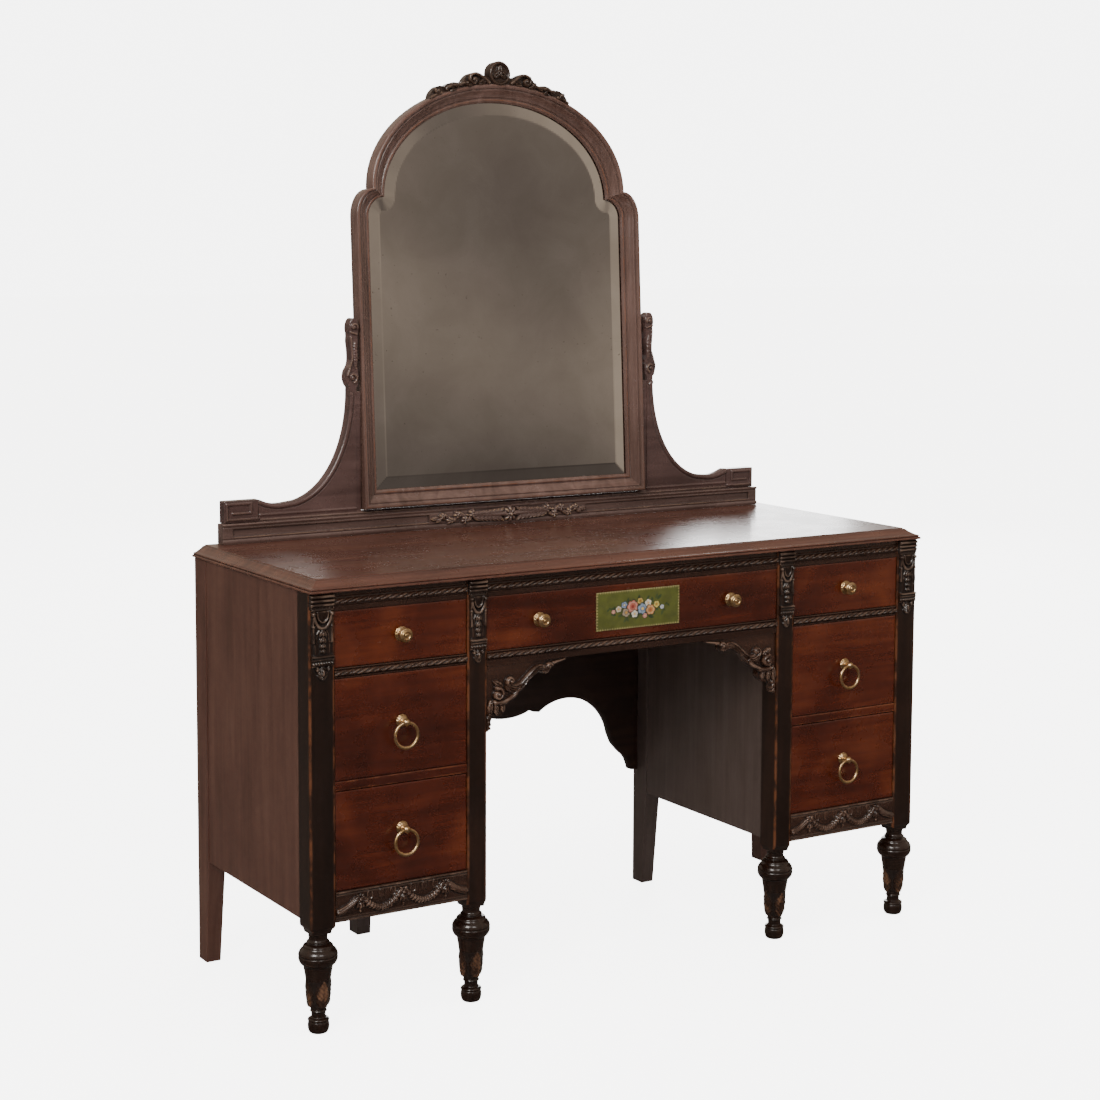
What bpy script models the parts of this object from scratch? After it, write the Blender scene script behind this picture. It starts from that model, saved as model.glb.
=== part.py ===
"""Kneehole vanity table with a tilting mirror.

Two drawer pedestals and a wide centre drawer hang under a moulded top. Four turned front legs
are one piece with the front posts, and four tapered legs carry the back. A base rail on the top
holds two swept standards, and the arched mirror tilts between them.

Frame: X runs along the front, Y runs from front to back, Z is up. The origin is on the floor
under the middle of the object's box.
"""

from math import copysign, cos, pi, radians, sin

import bmesh
import bpy
from mathutils import Matrix, Vector

# ---------------------------------------------------------------- driving dimensions (metres)
TOP_WIDTH = 1.296
TOP_DEPTH = 0.488
TOP_HEIGHT = 0.762
TOP_THICK = 0.021
TOP_OVERHANG_SIDE = 0.003
TOP_OVERHANG_FRONT = 0.011
TOP_OVERHANG_BACK = 0.004
ORIGIN_BACK_OF_LIP = TOP_DEPTH / 2 + 0.0146     # from the lip of the top back to the origin

GAP = 0.0004                    # between glued pieces, so that no two solids share a face
SLIDE_GAP = 0.001               # round a drawer front and under a drawer box

POST_WIDTH = 0.046              # outer front posts
INNER_POST_WIDTH = 0.038
POST_DEPTH = 0.043
POST_CHAMFER = 0.0032
PEDESTAL_OPENING = 0.250        # between the posts of one pedestal
POST_FOOT = 0.180               # where the square post becomes the turned leg
PANEL_THICK = 0.016
PANEL_FOOT = 0.190
PANEL_INSET = 0.002             # panels lie this far behind the posts' outer faces

REAR_LEG_WIDTH = 0.034
REAR_LEG_DEPTH = 0.047
REAR_LEG_FOOT_WIDTH = 0.028
REAR_LEG_FOOT_DEPTH = 0.034

FRIEZE_FOOT = 0.7090            # underside of the frieze under the top
TOP_DRAWER_FOOT = 0.6150
ROPE_RAIL_FOOT = 0.5965         # rail with the rope moulding under the top drawers
CENTRE_RAIL_FOOT = 0.5885
MIDDLE_DRAWER_FOOT = 0.4255
DIVIDER_FOOT = 0.4075
BOTTOM_DRAWER_FOOT = 0.2400
SWAG_RAIL_FOOT = 0.1870
FACE_SETBACK = 0.002            # rails and drawer fronts behind the posts' front
DUST_BOARD = 0.007

FRONT_THICK = 0.020
BOX_DEPTH = TOP_DEPTH - 0.103
BOX_WALL = 0.010
BOX_FLOOR = 0.006
BOX_SIDE_GAP = 0.003
BOX_HEADROOM = 0.014

BACK_BOARD = 0.005
KNEE_BOARD = 0.012              # scalloped board at the back of the kneehole
ARCH_HEIGHT = 0.400             # of its arches

KNOB_DROP = 0.002               # of a knob below the middle of its drawer
KNOB_SPREAD = 0.2045            # of the centre drawer's knobs, from the middle
MIDDLE_PULL_RISE = 0.0025       # of a ring's eye above the middle of its drawer
BOTTOM_PULL_RISE = 0.0078
RING_RADIUS = 0.0225
RING_WIRE = 0.0027
EYE_BORE = RING_WIRE + 0.0013
EYE_BALL = EYE_BORE + 0.0030
EYE_REACH = 0.016               # of a ring's eye, in front of the drawer

PICTURE_WIDTH = 0.178
PICTURE_HEIGHT = 0.069
PICTURE_THICK = 0.0015

RAIL_SPAN = TOP_WIDTH - 0.096   # base rail of the mirror
RAIL_SETBACK = TOP_DEPTH - 0.0275               # from the lip of the top
RAIL_THICK = 0.024
RAIL_BODY_HEIGHT = 0.037
RAIL_STRIP_HEIGHT = 0.0065
STANDARD_SETBACK = RAIL_SETBACK + 0.007
STANDARD_THICK = 0.020
STANDARD_SPAN = RAIL_SPAN - 0.012
KEY_BLOCK_WIDTH = 0.069
KEY_BLOCK_HEIGHT = 0.078        # above the top
KEY_BAR = 0.0042                # of the meander on the key block
SWEEP_FOOT_DROP = 0.010         # of the sweep's lowest point below the key block's top
SWEEP_POWER = 2.12
BEAD_WIDTH = 0.007              # along the edge of the sweep
BEAD_PROUD = 0.0022
PIVOT_HEIGHT = TOP_HEIGHT + 0.328
PIVOT_SETBACK = RAIL_SETBACK + 0.0201
PIVOT_PIN = 0.0035
PIVOT_BORE = PIVOT_PIN + 0.0007
PIVOT_REACH = 0.009             # of a pin into the mirror's frame

MIRROR_TILT = radians(3.3)      # leaning back
MIRROR_WIDTH = 0.631
MIRROR_FOOT_GAP = 0.0024        # from the base rail's strip up to the mirror's frame
MIRROR_SIDE_GAP = 0.0115        # from a standard to the mirror's frame
FRAME_FACE = 0.0345             # width of the frame's moulding
FRAME_DEPTH = 0.029
FRONT_OF_PIVOT = 0.0127         # from the pivot forward to the frame's front
SHOULDER_FOOT = 0.545           # heights along the frame, from its foot
NOTCH_HEIGHT = 0.598
NOTCH_HALF = MIRROR_WIDTH / 2 - 0.0345
ARCH_TOP = 0.801
RABBET_WIDTH = 0.007
GLASS_SETBACK = 0.0215
GLASS_THICK = 0.0038
BACKING_THICK = 0.003
CREST_SCROLLS = ((0.048, 0.0110, 0.0085), (0.077, 0.0072, 0.0050), (0.129, 0.0066, 0.0050))

# ---------------------------------------------------------------- derived places
HALF_TOP = TOP_WIDTH / 2
CASE_HALF = HALF_TOP - TOP_OVERHANG_SIDE
TOP_UNDER = TOP_HEIGHT - TOP_THICK
LIP_Y = -ORIGIN_BACK_OF_LIP
CASE_FRONT = LIP_Y + TOP_OVERHANG_FRONT
CASE_BACK = LIP_Y + TOP_DEPTH - TOP_OVERHANG_BACK
POST_BACK = CASE_FRONT + POST_DEPTH
REAR_LEG_FRONT = CASE_BACK - REAR_LEG_DEPTH
FACE_Y = CASE_FRONT + FACE_SETBACK
FRIEZE_BACK = POST_BACK + 0.018

OPENING_OUTER = CASE_HALF - POST_WIDTH
OPENING_INNER = OPENING_OUTER - PEDESTAL_OPENING
KNEE_HALF = OPENING_INNER - INNER_POST_WIDTH
PEDESTAL_MIDDLE = (OPENING_OUTER + OPENING_INNER) / 2
OUTER_PANEL_INSIDE = CASE_HALF - PANEL_INSET - PANEL_THICK
INNER_PANEL_INSIDE = KNEE_HALF + PANEL_INSET + PANEL_THICK

RAIL_FRONT = LIP_Y + RAIL_SETBACK
RAIL_TOP = TOP_HEIGHT + GAP + RAIL_BODY_HEIGHT
STRIP_TOP = RAIL_TOP + RAIL_STRIP_HEIGHT
STANDARD_MIDDLE_Y = LIP_Y + STANDARD_SETBACK + STANDARD_THICK / 2
STANDARD_INNER = MIRROR_WIDTH / 2 + MIRROR_SIDE_GAP
KEY_BLOCK_INNER = STANDARD_SPAN / 2 - KEY_BLOCK_WIDTH
KEY_BLOCK_TOP = TOP_HEIGHT + KEY_BLOCK_HEIGHT
SWEEP_FOOT_X = KEY_BLOCK_INNER - 0.048
SWEEP_HEAD_X = STANDARD_INNER + 0.013
SWEEP_HEAD_Z = PIVOT_HEIGHT - 0.052
PIVOT_Y = LIP_Y + PIVOT_SETBACK

MIRROR_BELOW_PIVOT = PIVOT_HEIGHT - STRIP_TOP - MIRROR_FOOT_GAP
SIGHT_HALF = MIRROR_WIDTH / 2 - FRAME_FACE
SIGHT_CUSP_HALF = NOTCH_HALF - FRAME_FACE + 0.0005
SIGHT_CUSP_HEIGHT = NOTCH_HEIGHT - 0.015
SIGHT_SHOULDER_FOOT = SHOULDER_FOOT + 0.003
SIGHT_ARCH_TOP = ARCH_TOP - FRAME_FACE

SIDES = (("left", -1), ("right", 1))


# ---------------------------------------------------------------- scene, materials, helpers
def clear_scene():
    for thing in list(bpy.data.objects):
        bpy.data.objects.remove(thing, do_unlink=True)


def new_collection(name):
    collection = bpy.data.collections.new(name)
    bpy.context.scene.collection.children.link(collection)
    return collection


def make_material(name, colour, roughness, metallic=0.0):
    material = bpy.data.materials.new(name)
    material.use_nodes = True
    shader = material.node_tree.nodes["Principled BSDF"]
    shader.inputs["Base Color"].default_value = (*colour, 1.0)
    shader.inputs["Roughness"].default_value = roughness
    shader.inputs["Metallic"].default_value = metallic
    material.diffuse_color = (*colour, 1.0)
    return material


def make_materials():
    looks = {
        "top_walnut": ((0.130, 0.050, 0.032), 0.30),
        "case_walnut": ((0.060, 0.024, 0.017), 0.38),
        "front_walnut": ((0.105, 0.027, 0.014), 0.32),
        "post_walnut": ((0.034, 0.017, 0.013), 0.40),
        "carved_walnut": ((0.050, 0.027, 0.018), 0.45),
        "frame_walnut": ((0.075, 0.032, 0.022), 0.35),
        "box_oak": ((0.300, 0.185, 0.095), 0.65),
        "picture_green": ((0.130, 0.145, 0.030), 0.45),
    }
    made = {name: make_material(name, colour, rough) for name, (colour, rough) in looks.items()}
    made["aged_brass"] = make_material("aged_brass", (0.56, 0.44, 0.24), 0.34, 1.0)
    made["mirror_glass"] = make_material("mirror_glass", (0.86, 0.87, 0.86), 0.03, 1.0)
    return made


def new_object(name, data, material, place=(0, 0, 0)):
    made = bpy.data.objects.new(name, data)
    made.location = place
    made.data.materials.append(material)
    PARTS.objects.link(made)
    return made


def mesh_from(name, build):
    """A mesh named `name`, filled in by build(bm), with its faces turned outwards."""
    bm = bmesh.new()
    build(bm)
    bmesh.ops.recalc_face_normals(bm, faces=bm.faces)
    mesh = bpy.data.meshes.new(name)
    bm.to_mesh(mesh)
    bm.free()
    return mesh


def add_box(bm, low, high):
    """Adds a box between two corners, and returns its vertices."""
    low = Vector(low)
    high = Vector(high)
    place = Matrix.Translation((low + high) / 2) @ Matrix.Diagonal((*(high - low), 1))
    return bmesh.ops.create_cube(bm, size=1.0, matrix=place)["verts"]


def box(name, low, high, material, bevel=0.0):
    """A box between two world corners, with its origin at its middle."""
    middle = (Vector(low) + Vector(high)) / 2
    mesh = mesh_from(name, lambda bm: add_box(bm, Vector(low) - middle, Vector(high) - middle))
    made = new_object(name, mesh, material, middle)
    if bevel:
        round_edges(made, bevel)
    return made


def round_edges(thing, width):
    bevel = thing.modifiers.new("Eased edges", "BEVEL")
    bevel.width = width
    bevel.segments = 1
    bevel.limit_method = "ANGLE"
    bevel.angle_limit = radians(40)


def cutter(name, mesh, place=(0, 0, 0)):
    """A helper solid for a Boolean. It is no part of the table."""
    made = bpy.data.objects.new(name, mesh)
    made.location = place
    made.hide_render = True
    made.display_type = "WIRE"
    CUTTERS.objects.link(made)
    return made


def combine(thing, other, operation):
    joint = thing.modifiers.new(other.name, "BOOLEAN")
    joint.operation = operation
    joint.solver = "EXACT"
    joint.object = other
    return joint


def helper_box(name, low, high):
    return cutter(name, mesh_from(name, lambda bm: add_box(bm, low, high)))


def helper_cylinder(name, radius, length, place, axis, sides=16):
    turn = Vector((0, 0, 1)).rotation_difference(Vector(axis)).to_matrix().to_4x4()

    def build(bm):
        bmesh.ops.create_cone(
            bm, cap_ends=True, segments=sides, radius1=radius, radius2=radius, depth=length,
            matrix=turn,
        )

    return cutter(name, mesh_from(name, build), place)


def outline_mesh(name, outline, thick):
    """A flat plate in X and Z, `thick` deep in Y about its own middle, from a 2D curve."""
    curve = bpy.data.curves.new(name, "CURVE")
    curve.dimensions = "2D"
    curve.fill_mode = "BOTH"
    curve.extrude = thick / 2
    spline = curve.splines.new("POLY")
    spline.points.add(len(outline) - 1)
    for point, (x, z) in zip(spline.points, outline):
        point.co = (x, z, 0, 1)
    spline.use_cyclic_u = True
    holder = bpy.data.objects.new(name + "_outline", curve)
    mesh = bpy.data.meshes.new_from_object(holder)
    bpy.data.objects.remove(holder)
    mesh.transform(Matrix.Rotation(pi / 2, 4, "X"))
    bm = bmesh.new()
    bm.from_mesh(mesh)
    bmesh.ops.remove_doubles(bm, verts=bm.verts, dist=1e-6)
    bmesh.ops.recalc_face_normals(bm, faces=bm.faces)
    bm.to_mesh(mesh)
    bm.free()
    return mesh


def plate(name, outline, thick, middle_y, material):
    return new_object(name, outline_mesh(name, outline, thick), material, (0, middle_y, 0))


def turned_mesh(name, profile, steps):
    """A solid of revolution about Z from (radius, height) pairs, listed from the top down."""
    holder = bpy.data.objects.new(name + "_profile", bpy.data.meshes.new(name + "_profile"))
    edges = [(i, i + 1) for i in range(len(profile) - 1)]
    holder.data.from_pydata([(radius, 0, height) for radius, height in profile], edges, [])
    screw = holder.modifiers.new("Turning", "SCREW")
    screw.axis = "Z"
    screw.steps = steps
    screw.render_steps = steps
    screw.use_merge_vertices = True
    screw.merge_threshold = 0.00001
    bpy.context.scene.collection.objects.link(holder)
    bpy.context.view_layer.update()
    turned = bpy.data.meshes.new_from_object(
        holder.evaluated_get(bpy.context.evaluated_depsgraph_get())
    )
    bpy.data.objects.remove(holder)
    bm = bmesh.new()
    bm.from_mesh(turned)
    bmesh.ops.remove_doubles(bm, verts=bm.verts, dist=1e-5)
    bmesh.ops.recalc_face_normals(bm, faces=bm.faces)
    bm.to_mesh(turned)
    bm.free()
    turned.name = name
    return turned


def loft_mesh(name, sections, closed=False):
    """Joins sections of equal length with faces. The ends are capped unless they close a ring."""
    def build(bm):
        rings = [[bm.verts.new(point) for point in section] for section in sections]
        pairs = list(zip(rings, rings[1:]))
        if closed:
            pairs.append((rings[-1], rings[0]))
        else:
            bm.faces.new(rings[0])
            bm.faces.new(rings[-1])
        for one, two in pairs:
            for i, corner in enumerate(one):
                j = (i + 1) % len(one)
                bm.faces.new((corner, one[j], two[j], two[i]))
        bmesh.ops.remove_doubles(bm, verts=bm.verts, dist=1e-7)

    return mesh_from(name, build)


def quarter(centre, across, up, start, end, steps, power=2.0):
    """Points on a stretch of an ellipse, with angles in degrees from +X to +Z.

    A `power` over 2 makes the ellipse squarer.
    """
    points = []
    for i in range(steps + 1):
        angle = radians(start + (end - start) * i / steps)
        x = copysign(abs(cos(angle)) ** (2 / power), cos(angle))
        z = copysign(abs(sin(angle)) ** (2 / power), sin(angle))
        points.append((centre[0] + across * x, centre[1] + up * z))
    return points


def mirrored(outline, side):
    """The outline for one side: as drawn for the right, and flipped for the left."""
    return outline if side > 0 else [(-x, z) for x, z in reversed(outline)]


# ---------------------------------------------------------------- table top
def build_top(material):
    """Loft of rectangles: two beads at the lip, a cove, and the step of the flat field."""
    edge = [
        (0.0030, TOP_UNDER),
        (0.0000, TOP_UNDER + 0.0018),
        (0.0006, TOP_UNDER + 0.0042),
        (0.0036, TOP_UNDER + 0.0052),
        (0.0024, TOP_UNDER + 0.0066),
        (0.0040, TOP_UNDER + 0.0085),
        (0.0090, TOP_UNDER + 0.0105),
        (0.0160, TOP_UNDER + 0.0145),
        (0.0220, TOP_HEIGHT - 0.0018),
        (0.0245, TOP_HEIGHT - 0.0018),
        (0.0250, TOP_HEIGHT),
    ]
    back = LIP_Y + TOP_DEPTH
    sections = []
    for inset, height in edge:
        x = HALF_TOP - inset
        front = LIP_Y + inset
        sections.append([(-x, front, height), (x, front, height), (x, back, height), (-x, back, height)])
    new_object("table_top", loft_mesh("table_top", sections), material)


# ---------------------------------------------------------------- posts, legs and panels
def leg_profile():
    """(radius, height) of a turned front leg, from inside the post down to the floor."""
    return [
        (0.0000, POST_FOOT + 0.030),
        (0.0160, POST_FOOT + 0.030),
        (0.0160, 0.1700),
        (0.0155, 0.1620),
        (0.0172, 0.1545),
        (0.0225, 0.1510),
        (0.0262, 0.1470),
        (0.0315, 0.1390),
        (0.0328, 0.1300),
        (0.0310, 0.1220),
        (0.0285, 0.1172),
        (0.0228, 0.1125),
        (0.0200, 0.0920),
        (0.0190, 0.0700),
        (0.0188, 0.0550),
        (0.0172, 0.0460),
        (0.0125, 0.0415),
        (0.0119, 0.0340),
        (0.0122, 0.0275),
        (0.0150, 0.0225),
        (0.0175, 0.0170),
        (0.0180, 0.0100),
        (0.0160, 0.0030),
        (0.0135, 0.0000),
        (0.0000, 0.0000),
    ]


def post_block(bm, width):
    """The square post about its own axis, with chamfered front corners and a coved foot."""
    half = width / 2
    depth = POST_DEPTH / 2
    cut = POST_CHAMFER
    neck = 0.0172

    def ring(x, y, chamfer, height):
        return [
            (-x, -y + chamfer, height), (-x + chamfer, -y, height),
            (x - chamfer, -y, height), (x, -y + chamfer, height),
            (x, y, height), (-x, y, height),
        ]

    sections = [
        ring(neck, neck, cut, POST_FOOT - 0.008),
        ring(neck + 0.7 * (half - neck), neck + 0.7 * (depth - neck), cut, POST_FOOT),
        ring(half, depth, cut, POST_FOOT + 0.009),
        ring(half, depth, cut, TOP_UNDER - GAP),
    ]
    rings = [[bm.verts.new(point) for point in section] for section in sections]
    bm.faces.new(rings[0])
    bm.faces.new(rings[-1])
    for one, two in zip(rings, rings[1:]):
        for i, corner in enumerate(one):
            j = (i + 1) % len(one)
            bm.faces.new((corner, one[j], two[j], two[i]))


def pilaster_steps(width):
    """(half width top, half width foot, height top, height foot, how far proud) down the post."""
    half = width / 2 - 0.001
    return (
        (half, half, TOP_UNDER - 0.003, TOP_UNDER - 0.010, 0.0070),
        (half - 0.0010, half - 0.0015, TOP_UNDER - 0.009, TOP_UNDER - 0.026, 0.0045),
        (half - 0.0035, half - 0.0080, TOP_UNDER - 0.025, 0.634, 0.0030),
        (half - 0.0035, half - 0.0045, 0.636, 0.619, 0.0065),
        (half - 0.0080, half - 0.0130, 0.620, 0.597, 0.0040),
    )


def build_post(name, middle_x, width, material):
    middle_y = CASE_FRONT + POST_DEPTH / 2
    made = new_object(name, mesh_from(name, lambda bm: post_block(bm, width)), material)
    made.location = (middle_x, middle_y, 0)
    leg = cutter(name + "_turning", turned_mesh(name + "_turning", leg_profile(), 16), made.location)
    combine(made, leg, "UNION")
    for number, (head, foot, top, under, proud) in enumerate(pilaster_steps(width)):
        front = CASE_FRONT - proud
        back = CASE_FRONT + 0.006
        sections = [
            [(middle_x - half, front, z), (middle_x + half, front, z),
             (middle_x + half, back, z), (middle_x - half, back, z)]
            for half, z in ((foot, under), (head, top))
        ]
        label = f"{name}_carving_{number}"
        combine(made, cutter(label, loft_mesh(label, sections)), "UNION")
    return made


def build_rear_leg(name, outer_x, inner_x, material):
    """Straight beside the panel, then tapered on the front face and on the pedestal's side."""
    foot_inner = outer_x + (inner_x - outer_x) * REAR_LEG_FOOT_WIDTH / REAR_LEG_WIDTH
    foot_front = CASE_BACK - REAR_LEG_FOOT_DEPTH

    def ring(inner, front, height):
        return [(outer_x, front, height), (inner, front, height),
                (inner, CASE_BACK, height), (outer_x, CASE_BACK, height)]

    sections = [
        ring(foot_inner, foot_front, 0),
        ring(inner_x, REAR_LEG_FRONT, PANEL_FOOT),
        ring(inner_x, REAR_LEG_FRONT, TOP_UNDER - GAP),
    ]
    made = new_object(name, loft_mesh(name, sections), material)
    round_edges(made, 0.001)


def build_carcase(mats):
    panel_top = TOP_UNDER - GAP
    for side_name, side in SIDES:
        build_post(f"front_post_{side_name}_outer", side * (CASE_HALF - POST_WIDTH / 2),
                   POST_WIDTH, mats["post_walnut"])
        build_post(f"front_post_{side_name}_inner", side * (KNEE_HALF + INNER_POST_WIDTH / 2),
                   INNER_POST_WIDTH, mats["post_walnut"])
        outer = side * CASE_HALF
        inner = side * KNEE_HALF
        build_rear_leg(f"rear_leg_{side_name}_outer", outer, outer - side * REAR_LEG_WIDTH,
                       mats["case_walnut"])
        build_rear_leg(f"rear_leg_{side_name}_inner", inner, inner + side * REAR_LEG_WIDTH,
                       mats["case_walnut"])
        for place, face, inside in (
            ("outer", side * (CASE_HALF - PANEL_INSET), side * OUTER_PANEL_INSIDE),
            ("inner", side * (KNEE_HALF + PANEL_INSET), side * INNER_PANEL_INSIDE),
        ):
            panel = box(f"side_panel_{side_name}_{place}",
                        (min(face, inside), POST_BACK + GAP, PANEL_FOOT),
                        (max(face, inside), REAR_LEG_FRONT - GAP, panel_top), mats["case_walnut"])
            if place == "inner":
                notch = helper_box(f"frieze_notch_{side_name}",
                                   (inner - 0.03, POST_BACK - 0.01, FRIEZE_FOOT - GAP),
                                   (inner + 0.03, FRIEZE_BACK + GAP, TOP_HEIGHT))
                combine(panel, notch, "DIFFERENCE")
        ends = sorted((side * (KNEE_HALF + REAR_LEG_WIDTH + GAP),
                       side * (CASE_HALF - REAR_LEG_WIDTH - GAP)))
        box(f"back_panel_{side_name}", (ends[0], CASE_BACK - 0.003 - BACK_BOARD, PANEL_FOOT),
            (ends[1], CASE_BACK - 0.003, panel_top), mats["case_walnut"])


def knee_outline():
    """Scalloped lower edge of the kneehole's back board: a centre drop between two arches."""
    end = KNEE_HALF - GAP
    arch = (KNEE_HALF * 0.444, ARCH_HEIGHT - 0.100)
    across = KNEE_HALF * 0.328
    right = quarter((0.0, ARCH_HEIGHT + 0.012), KNEE_HALF * 0.241, 0.038, 270, 315, 4)
    right += [(KNEE_HALF * 0.193, ARCH_HEIGHT - 0.019)]
    right += quarter(arch, across, 0.100, 128, 90, 4)
    right += quarter(arch, across, 0.100, 84, 10, 7)
    spandrel = [(0.0626, 0.104), (0.0486, 0.120), (0.0316, 0.136), (0.0236, 0.152), (0.0186, 0.164),
                (0.0000, 0.166)]
    right += [(end - inwards, ARCH_HEIGHT - down) for inwards, down in spandrel]
    right += [(end, TOP_UNDER - GAP)]
    left = [(-x, z) for x, z in reversed(right)]
    return left[:-1] + right


def build_knee_board(material):
    middle = CASE_BACK - 0.004 - KNEE_BOARD / 2
    plate("kneehole_back_board", knee_outline(), KNEE_BOARD, middle, material)


def build_rails(mats):
    """The frieze, the rope rails with their dust boards, the dividers and the swag rails."""
    frieze = box("frieze_rail", (-CASE_HALF + PANEL_THICK + 0.003, POST_BACK + GAP, FRIEZE_FOOT),
                 (CASE_HALF - PANEL_THICK - 0.003, FRIEZE_BACK, TOP_UNDER - GAP),
                 mats["post_walnut"])
    spans = [("centre", -KNEE_HALF, KNEE_HALF)]
    spans += [(name, *sorted((side * OPENING_OUTER, side * OPENING_INNER))) for name, side in SIDES]
    for name, low, high in spans:
        combine(frieze, helper_box(f"frieze_{name}", (low + GAP, FACE_Y, FRIEZE_FOOT),
                                   (high - GAP, POST_BACK + 0.010, TOP_UNDER - GAP)), "UNION")
        add_rope(frieze, f"frieze_rope_{name}", low, high, (FRIEZE_FOOT + TOP_UNDER) / 2)

    for name, side in SIDES:
        low, high = sorted((side * OPENING_OUTER, side * OPENING_INNER))
        board = sorted((side * (OUTER_PANEL_INSIDE - GAP), side * (INNER_PANEL_INSIDE + GAP)))
        rail_with_board(f"rope_rail_{name}", low, high, board, ROPE_RAIL_FOOT,
                        TOP_DRAWER_FOOT - SLIDE_GAP, mats["post_walnut"], True)
        rail_with_board(f"divider_rail_{name}", low, high, board, DIVIDER_FOOT,
                        MIDDLE_DRAWER_FOOT - SLIDE_GAP, mats["front_walnut"], False)
        swag = rail_with_board(f"swag_rail_{name}", low, high, board, SWAG_RAIL_FOOT,
                               BOTTOM_DRAWER_FOOT - SLIDE_GAP, mats["carved_walnut"], False)
        add_swag(swag, f"swag_{name}", (low + high) / 2, high - low)

    centre = rail_with_board(
        "centre_rail", -KNEE_HALF, KNEE_HALF,
        (-KNEE_HALF - PANEL_INSET + GAP, KNEE_HALF + PANEL_INSET - GAP), CENTRE_RAIL_FOOT,
        TOP_DRAWER_FOOT - SLIDE_GAP, mats["post_walnut"], True,
    )
    return centre


def rail_with_board(name, low, high, board, foot, head, material, rope):
    """A front rail between two posts, with the dust board that the drawer above slides on."""
    rail = box(name, (low + GAP, FACE_Y, foot), (high - GAP, POST_BACK + 0.004, head), material)
    back = CASE_BACK - 0.003 - BACK_BOARD - GAP if board[0] * board[1] > 0 else REAR_LEG_FRONT
    shelf = helper_box(name + "_dust_board", (board[0], POST_BACK + GAP, head - DUST_BOARD),
                       (board[1], REAR_LEG_FRONT - GAP, head - 0.0005))
    combine(rail, shelf, "UNION")
    tongue_low = board[0] + REAR_LEG_WIDTH
    tongue_high = board[1] - REAR_LEG_WIDTH
    if back > REAR_LEG_FRONT:
        combine(rail, helper_box(name + "_back_edge",
                                 (tongue_low, REAR_LEG_FRONT - 0.010, head - DUST_BOARD),
                                 (tongue_high, back, head - 0.0005)), "UNION")
    if rope:
        add_rope(rail, name + "_rope", low, high, head - 0.0085)
    return rail


def add_rope(rail, name, low, high, height):
    """The round of the rope moulding, half sunk in its rail."""
    length = high - low - 2 * GAP - 0.002
    place = ((low + high) / 2, FACE_Y + 0.0005, height)
    combine(rail, helper_cylinder(name, 0.0048, length, place, (1, 0, 0), 8), "UNION")


def add_swag(rail, name, middle, width):
    """Raised carving on the lower rail: two hanging swags between three small drops."""
    height = (BOTTOM_DRAWER_FOOT + SWAG_RAIL_FOOT) / 2
    half = width / 4 - 0.010
    for number, x in enumerate((middle - width / 4, middle + width / 4)):
        upper = quarter((x, height + 0.014), half, 0.020, 180, 360, 8)
        lower = quarter((x, height + 0.014), half + 0.008, 0.032, 360, 180, 8)
        label = f"{name}_{number}"
        mesh = outline_mesh(label, upper + lower, 0.008)
        combine(rail, cutter(label, mesh, (0, FACE_Y, 0)), "UNION")
    for number, x in enumerate((middle - width / 2 + 0.012, middle, middle + width / 2 - 0.012)):
        label = f"{name}_drop_{number}"
        combine(rail, helper_box(label, (x - 0.006, FACE_Y - 0.0045, height - 0.010),
                                 (x + 0.006, FACE_Y + 0.003, height + 0.018)), "UNION")


def bracket_outline():
    """Corner bracket under the centre drawer: straight at the rail and post, leafy below.

    Its leafy edge is given as (inwards from the post, down from the rail).
    """
    top = CENTRE_RAIL_FOOT - GAP
    out = KNEE_HALF - GAP
    edge = [
        (0.0000, 0.1161), (0.0086, 0.1091), (0.0116, 0.0951), (0.0166, 0.0881), (0.0266, 0.0891),
        (0.0366, 0.0841), (0.0416, 0.0741), (0.0386, 0.0641), (0.0506, 0.0611), (0.0626, 0.0551),
        (0.0726, 0.0431), (0.0806, 0.0321), (0.0946, 0.0221), (0.1086, 0.0181), (0.1146, 0.0251),
        (0.1236, 0.0251), (0.1286, 0.0181), (0.1266, 0.0101), (0.1386, 0.0091), (0.1466, 0.0041),
        (0.1546, 0.0056), (0.1636, 0.0031), (0.1656, 0.0000),
    ]
    return [(out - inwards, top - down) for inwards, down in edge] + [(out, top)]


def build_brackets(material):
    for name, side in SIDES:
        plate(f"corner_bracket_{name}", mirrored(bracket_outline(), side), 0.014,
              FACE_Y + 0.010, material)


# ---------------------------------------------------------------- drawers
def tray(name, low, high, material):
    """An open-topped drawer box behind its front."""
    made = box(name, low, high, material)
    inner_low = Vector(low) + Vector((BOX_WALL, BOX_WALL, BOX_FLOOR))
    inner_high = Vector(high) - Vector((BOX_WALL, BOX_WALL, -0.010))
    combine(made, helper_box(name + "_hollow", inner_low, inner_high), "DIFFERENCE")


def drawer(name, low, high, foot, head, mats):
    """The front and the box of one drawer. The front fills its opening but for the sliding gap."""
    front_back = FACE_Y + FRONT_THICK
    box(f"{name}_front", (low + SLIDE_GAP, FACE_Y, foot), (high - SLIDE_GAP, front_back, head),
        mats["front_walnut"], 0.0015)
    tray(f"{name}_box", (low + BOX_SIDE_GAP, front_back + GAP, foot),
         (high - BOX_SIDE_GAP, front_back + GAP + BOX_DEPTH, head - BOX_HEADROOM), mats["box_oak"])


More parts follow.
